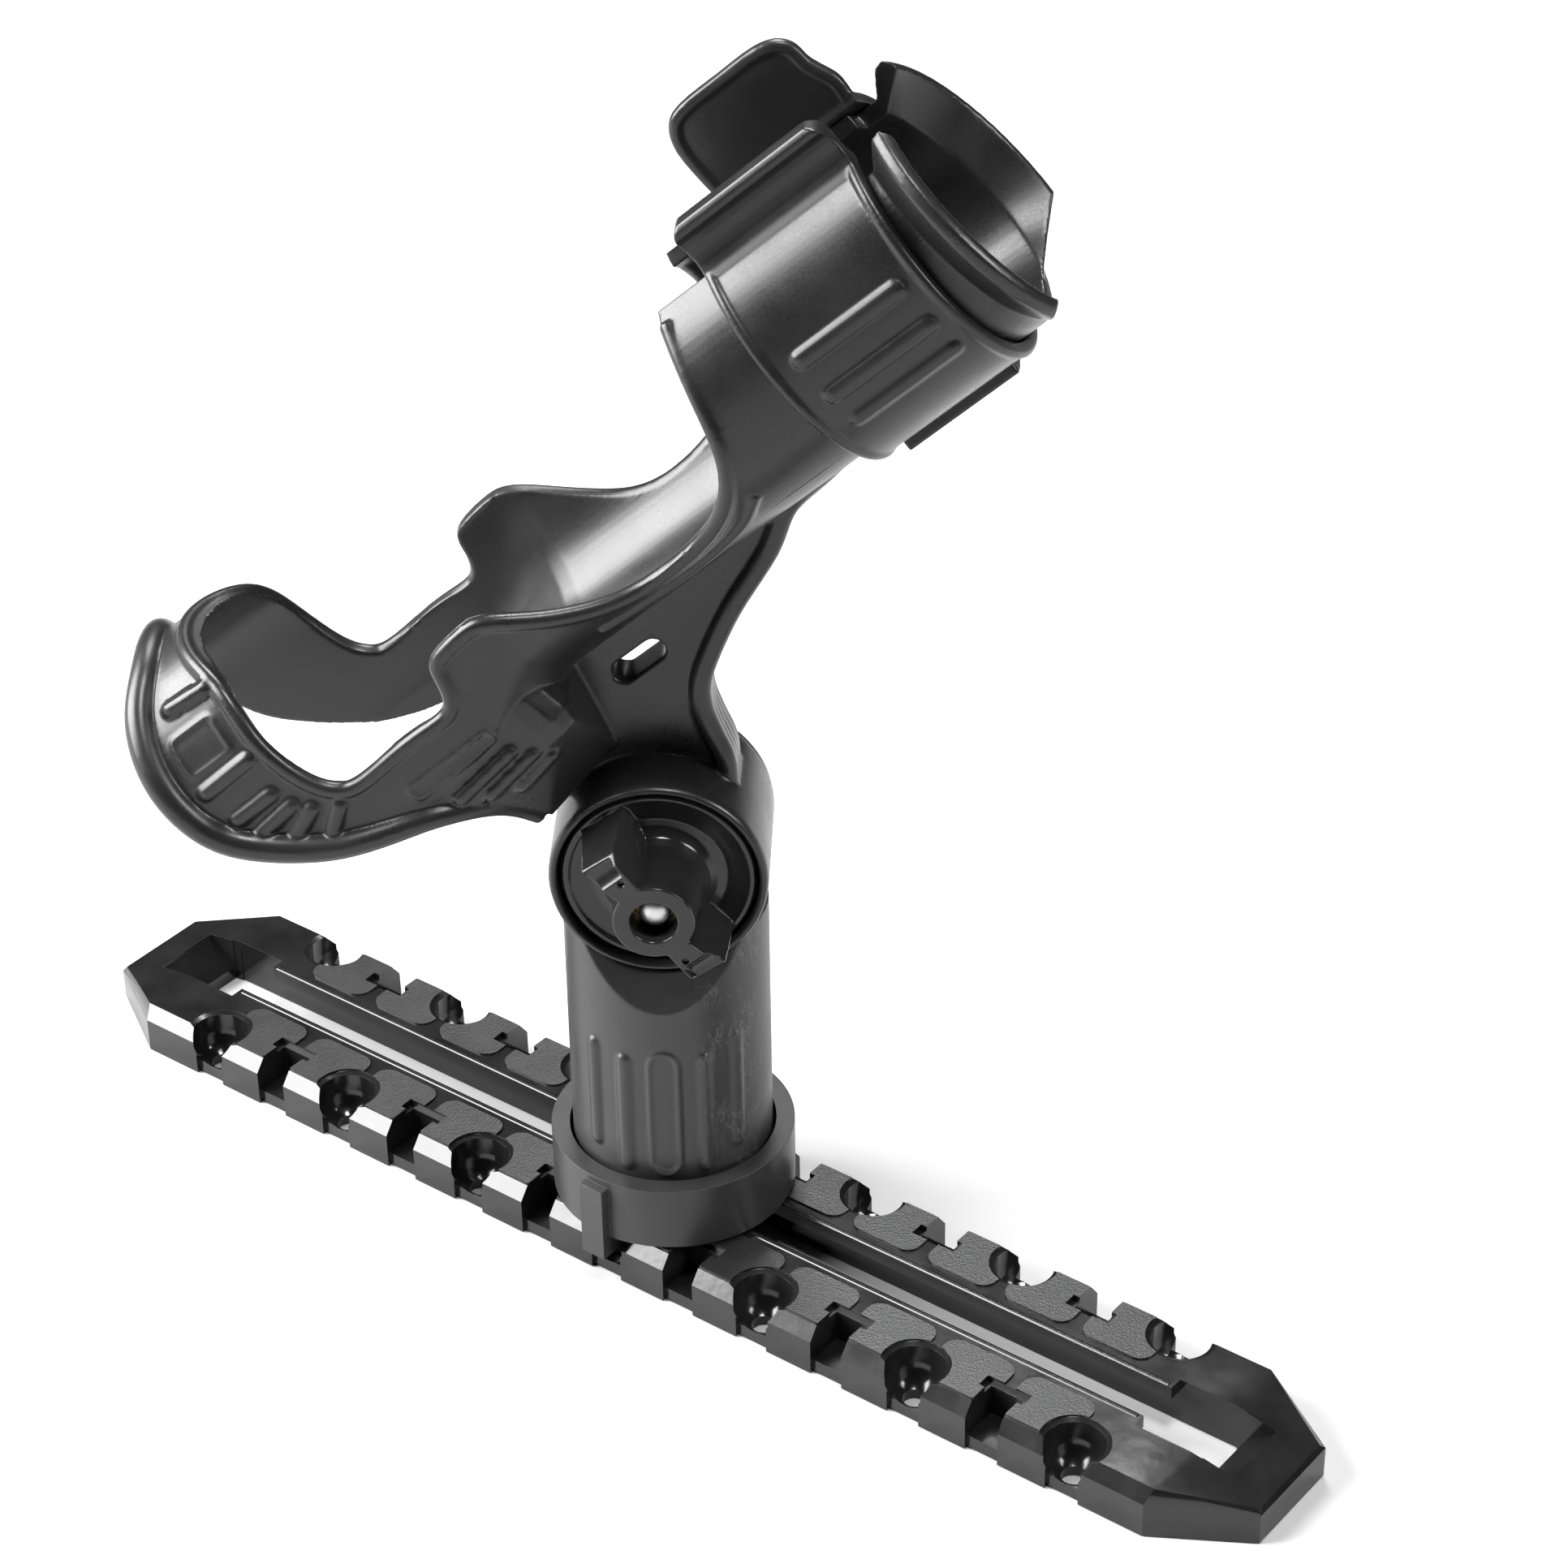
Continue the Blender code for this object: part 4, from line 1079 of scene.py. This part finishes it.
def add_rear_flange(cradle):
    """Thick rolled edge round the back of the strap, thinning down to the barrel."""
    rear = pulled_in(curve_through(scaled(REAR_EDGE), 5), 2.8 * MM)
    rear.reverse()
    around = [p for p in rear if p[1] > 47 * MM]
    near_hem = curve_through(scaled([(x, -y, z) for x, y, z in HEM]), 4)
    far_hem = [(x, -y, z) for x, y, z in reversed(near_hem)]
    path = relaxed(near_hem + hoop_path(around, -0.4 * MM) + far_hem, 6)
    thin, swell, swell_points = 2.0 * MM, 1.1 * MM, 36
    last = len(path) - 1
    radii = [thin + swell * smooth(min(i, last - i) / swell_points) for i in range(last + 1)]
    overlay(cradle, tube(path, radii, 20))


def add_cradle_ribs(cradle):
    """Short raised bars on the rear strap and the gusset, and the frames of blank panels."""
    strap = [
        ((-41.9, 92.5), (-40.9, 96.8)), ((-46.8, 88.8), (-37.8, 88.3)),
        ((-49.9, 74.1), (-38.2, 74.5)), ((-49.3, 66.1), (-40.0, 66.3)),
        ((-47.4, 61.0), (-38.6, 62.0)), ((-42.6, 56.5), (-36.2, 59.0)),
        ((-36.5, 52.8), (-31.5, 56.2)),
    ]
    gusset = [
        ((-13.5, 41.9), (0.5, 43.2)), ((-8.8, 38.4), (3.0, 39.8)), ((-4.0, 35.0), (4.8, 36.6)),
    ]
    long_panel = scaled([(-19, 47.3), (1, 50.7)])
    short_panel = scaled([(-50, 77.8), (-39.5, 85)])
    vertices = [vertex.co for vertex in cradle.data.vertices]
    skin = BVHTree.FromPolygons(vertices, [face.vertices[:] for face in cradle.data.polygons])
    for side in (-1, 1):
        for bars, radius, sunk in ((strap, 2.0 * MM, 0.7 * MM), (gusset, 1.7 * MM, 0.5 * MM)):
            for bar in bars:
                start, end = [on_skin(skin, x, z, side, sunk) for x, z in scaled(bar)]
                if start and end:
                    overlay(cradle, capsule(start, end, radius))
        for corners in (long_panel, short_panel):
            border = with_more_points(rounded(*corners, 1.2 * MM), 1.2 * MM)
            found = [on_skin(skin, x, z, side, 0.05 * MM) for x, z in border]
            path = [point for point in found if point]
            overlay(cradle, tube(path, 0.5 * MM, 8, closed=True))


def on_skin(skin, x, z, side, sunk):
    """Point on the moulding's near or far flank, sunk in by a little."""
    hit = skin.ray_cast(Vector((x, side * 60 * MM, z)), Vector((0, -side, 0)))[0]
    return (x, hit.y - side * sunk, z) if hit else None


# ---- knob

KNOB_BACK = -8.3 * MM
KNOB_RIM = -15.9 * MM  # front of the cup's rim
KNOB_FACE = -31.5 * MM  # front of the hub and wings
KNOB_RADIUS = 19.4 * MM
CUP_FLOOR = -14.8 * MM


def make_knob(material):
    """Wing knob: shallow cup, hub, and two wings that widen towards the rim."""
    profile = [
        (0, KNOB_BACK), (KNOB_RADIUS, KNOB_BACK), (KNOB_RADIUS, KNOB_RIM + 0.7 * MM),
        (18.9 * MM, KNOB_RIM), (18.0 * MM, KNOB_RIM - 0.1 * MM),
        (17.3 * MM, KNOB_RIM + 0.5 * MM), (15.8 * MM, CUP_FLOOR - 0.3 * MM),
        (13.5 * MM, CUP_FLOOR), (11.6 * MM, CUP_FLOOR - 0.5 * MM),
        (10.2 * MM, CUP_FLOOR - 1.8 * MM), (9.3 * MM, -18.5 * MM), (8.5 * MM, -25 * MM),
        (8.0 * MM, KNOB_FACE), (0, KNOB_FACE),
    ]
    knob = to_object("knob", turned(profile, 128, "Y"))
    add_wings(knob)
    bottom, top = KNOB_BACK + MM, KNOB_FACE - MM
    bore = [
        (0, bottom), (4.4 * MM, bottom), (4.4 * MM, KNOB_FACE + 1.2 * MM), (5.0 * MM, top),
        (0, top),
    ]
    cut(knob, turned(bore, 64, "Y"))
    soften(knob, 0.2 * MM, 7)
    for side in (-1, 1):
        mark = cylinder(0.75 * MM, -0.7 * MM, 0.7 * MM, 24, "Y")
        cut(knob, moved(mark, (side * 1.1 * MM, KNOB_FACE, side * 10.8 * MM)))
    knob.data.shade_smooth()
    place(knob, material, CRADLE_FRAME, "knob", "wing_knob")


def add_wings(knob):
    """Two wings, each with a scoop in its end for a fingertip."""
    front, shelf, foot = KNOB_FACE + 0.05 * MM, -29 * MM, -12.5 * MM
    wing = (
        (-1.3, front, 3), (2.8, front, 3), (3.1, front, 14.6), (-3.5, front, 15.2),
        (3.6, shelf, 16.2), (-4.1, shelf, 16.9), (-2.4, foot, 3), (3.2, foot, 3),
        (6.2, foot, 17.4), (-4.7, foot, 18.0),
    )
    for side in (-1, 1):
        join(knob, hull([(side * x * MM, level, side * z * MM) for x, level, z in wing]))
        scoop = cylinder(4.6 * MM, -3.2 * MM, 3.2 * MM, 48, "X")
        cut(knob, moved(scoop, (side * -0.6 * MM, KNOB_FACE - 2.6 * MM, side * 15.4 * MM)))


# ---- collar

COLLAR_INNER = TUBE_RADIUS + 0.4 * MM
COLLAR_OUTER = 28.6 * MM
COLLAR_START = 92.3 * MM
COLLAR_END = 127.3 * MM
COLLAR_GAP = 25.5  # half of the ring's opening, in degrees


def make_collar(material):
    """Open ring that turns on the front tube; its ends carry a thumb paddle and a grip."""
    start, end = 90 + COLLAR_GAP, 450 - COLLAR_GAP
    outer = arc((0, 0), COLLAR_OUTER, start, end, 120)
    inner = arc((0, 0), COLLAR_INNER, end, start, 120)
    collar = to_object("collar", prism(outer + inner, COLLAR_START, COLLAR_END, "X"))
    bead = 1.1 * MM
    rim = arc((0, 0), COLLAR_OUTER - 0.5 * MM, start + 2, end - 2, 90)
    for x in (COLLAR_START + bead, COLLAR_END - bead):
        overlay(collar, tube([(x, y, z) for y, z in rim], bead, 14))
    edge = (COLLAR_OUTER - MM) * math.sin(math.radians(COLLAR_GAP))
    add_paddle(collar, edge)
    add_grip(collar)
    under = arc((0, 0), 31.2 * MM, 258, 282, 12) + arc((0, 0), COLLAR_OUTER - MM, 282, 258, 12)
    overlay(collar, prism(under, COLLAR_START + 3 * MM, COLLAR_END - 6 * MM, "X"))
    rib_start, rib_end, sunk_radius = 99.5 * MM, 121.5 * MM, COLLAR_OUTER - 1.5 * MM
    for degrees in (170, 188, 203):
        angle = math.radians(degrees)
        y, z = sunk_radius * math.cos(angle), sunk_radius * math.sin(angle)
        overlay(collar, capsule((rib_start, y, z), (rib_end, y, z), 2.6 * MM))
    soften(collar, 0.3 * MM, 4)
    place(collar, material, COLLAR_FRAME, "collar", "retainer_collar")


def add_paddle(collar, edge):
    """Flat thumb paddle with a thick rim, on the far end of the ring."""
    sketch = [
        (94.6, 23), (94.4, 31), (94.9, 37.5), (97.2, 41.8), (101.5, 43.4), (110, 43.5),
        (118, 43.4), (122.4, 42.2), (124.8, 39.4), (125.2, 35.5), (126.2, 32.5),
        (127.2, 29.5), (127.0, 26), (126.2, 23),
    ]
    outline = curve_through(scaled(sketch), 4)
    overlay(collar, prism(outline, edge + 0.3 * MM, edge + 2.7 * MM, "Y"))
    rim = [(x, edge + 1.5 * MM, z) for x, z in pulled_in(outline, -1.3 * MM)]
    overlay(collar, tube(rim, 1.6 * MM, 14))


def add_grip(collar):
    """Thumb grip that curls up and out from the near end of the ring."""
    curl = scaled([
        (-11.9, 23.5), (-11.9, 33.6), (-12.6, 34.9), (-14.2, 35.2), (-16.2, 34.8),
        (-17.0, 33.8), (-16.8, 32.7), (-15.7, 31.4), (-15.0, 29.6), (-14.8, 27.8),
        (-15.1, 26.0), (-16.0, 24.4), (-17.2, 23.0), (-13.0, 22.6),
    ])
    low, high = COLLAR_START + 0.2 * MM, COLLAR_END - 0.2 * MM
    grip = to_object("grip", prism(curl, low, high, "X"))
    face = rounded((low, 12 * MM), (high, 35.4 * MM), 4.5 * MM)
    combine(grip, prism(face, -30 * MM, 0, "Y"), "INTERSECT")
    shape = bmesh.new()
    shape.from_mesh(grip.data)
    bpy.data.objects.remove(grip)
    overlay(collar, shape)


# ---- studio

FLOOR_HALF = 6.0
LAMPS = (  # name, place, width, power in watts
    ("key", (-1.0, -0.75, 0.85), 1.1, 84),
    ("back", (-0.5, 0.65, 1.25), 0.5, 16),
    ("side", (1.15, 0.45, 0.9), 0.5, 14),
    ("top", (0.3, -0.1, 1.7), 0.42, 20),
)
LAMP_TARGET = Vector((0, 0, 0.1))
BRIGHT_SIDE = (-0.45, 0.35, 0.82)  # direction that the room is brightest in


def make_floor():
    """Plain pale floor, just under the track."""
    material = bpy.data.materials.new("floor")
    material.use_nodes = True
    shader = material.node_tree.nodes["Principled BSDF"]
    shader.inputs["Base Color"].default_value = (0.5, 0.5, 0.5, 1.0)
    shader.inputs["Roughness"].default_value = 0.8
    low, high = (-FLOOR_HALF, -FLOOR_HALF, -0.02), (FLOOR_HALF, FLOOR_HALF, -0.0002)
    floor = to_object("floor", block(low, high))
    floor.data.materials.append(material)


def make_room():
    """World that is brighter above and behind the subject than on the camera's side."""
    world = bpy.data.worlds.new("studio")
    bpy.context.scene.world = world
    world.use_nodes = True
    tree = world.node_tree
    direction = tree.nodes.new("ShaderNodeTexCoord").outputs["Generated"]
    towards = tree.nodes.new("ShaderNodeVectorMath")
    towards.operation = "DOT_PRODUCT"
    tree.links.new(direction, towards.inputs[0])
    towards.inputs[1].default_value = BRIGHT_SIDE
    level = tree.nodes.new("ShaderNodeMapRange")
    tree.links.new(towards.outputs["Value"], level.inputs["Value"])
    level.inputs["From Min"].default_value = -0.1
    level.inputs["From Max"].default_value = 0.95
    level.inputs["To Min"].default_value = 0.16
    level.inputs["To Max"].default_value = 0.7
    tree.links.new(level.outputs["Result"], tree.nodes["Background"].inputs["Strength"])


def make_lamps():
    """Square soft boxes, all turned to the subject."""
    for name, position, width, power in LAMPS:
        lamp = bpy.data.lights.new(name, "AREA")
        lamp.size = width
        lamp.energy = power
        obj = bpy.data.objects.new(name, lamp)
        bpy.context.scene.collection.objects.link(obj)
        obj.location = position
        aim = LAMP_TARGET - Vector(position)
        obj.rotation_euler = aim.to_track_quat("-Z", "Y").to_euler()


def make_camera():
    """Camera at the photograph's viewing angle."""
    camera = bpy.data.cameras.new("camera")
    camera.lens = CAMERA_LENS
    camera.sensor_width = CAMERA_SENSOR
    camera.clip_start = 0.01
    obj = bpy.data.objects.new("camera", camera)
    bpy.context.scene.collection.objects.link(obj)
    turn = Matrix.Rotation(math.radians(CAMERA_AZIMUTH), 4, "Z")
    tilt = Matrix.Rotation(math.radians(90.0 - CAMERA_ELEVATION), 4, "X")
    roll = Matrix.Rotation(math.radians(CAMERA_ROLL), 4, "Z")
    obj.matrix_world = Matrix.Translation(CAMERA_PLACE) @ turn @ tilt @ roll
    bpy.context.scene.camera = obj


def finish_cad_pieces(plastic):
    """Give the CAD nodes their materials; the inner ones are shown as they are."""
    finishes = {
        "stainless": metal("bright_steel", (0.58, 0.58, 0.59), 0.34),
        "spring_steel": metal("spring_wire", (0.5, 0.5, 0.52), 0.3),
        "brass": metal("turned_brass", (0.7, 0.55, 0.25), 0.28),
        "acetal": moulded_black("black_acetal", 0.03, 0.4, 0.01, 0.0008),
    }
    slots = {row["node"]: row["material_slot"] for row in frame["record"]["subparts"]}
    for name, node in frame["nodes"].items():
        node.data.materials.clear()
        node.data.materials.append(finishes.get(slots[name], plastic))
    return finishes["stainless"]


def main():
    """Build every visible piece, then the studio."""
    satin = moulded_black("satin_black_nylon", 0.024, 0.36, 0.01, 0.0004)
    cradle_satin = moulded_black("cradle_black_nylon", 0.012, 0.32, 0.004, 0.0005)
    steel = finish_cad_pieces(satin)

    make_track(track_black("track_gloss_black"))
    make_base(satin)
    make_post(scuffed_black("post_black_nylon", 0.022, 0.34))
    make_tilt_bolt(steel)
    make_cradle(cradle_satin)
    make_knob(moulded_black("knob_gloss_black", 0.012, 0.17, 0.002, 0.0008))
    make_collar(cradle_satin)

    make_floor()
    make_room()
    make_lamps()
    make_camera()
    bpy.context.scene.view_settings.view_transform = "Standard"


main()
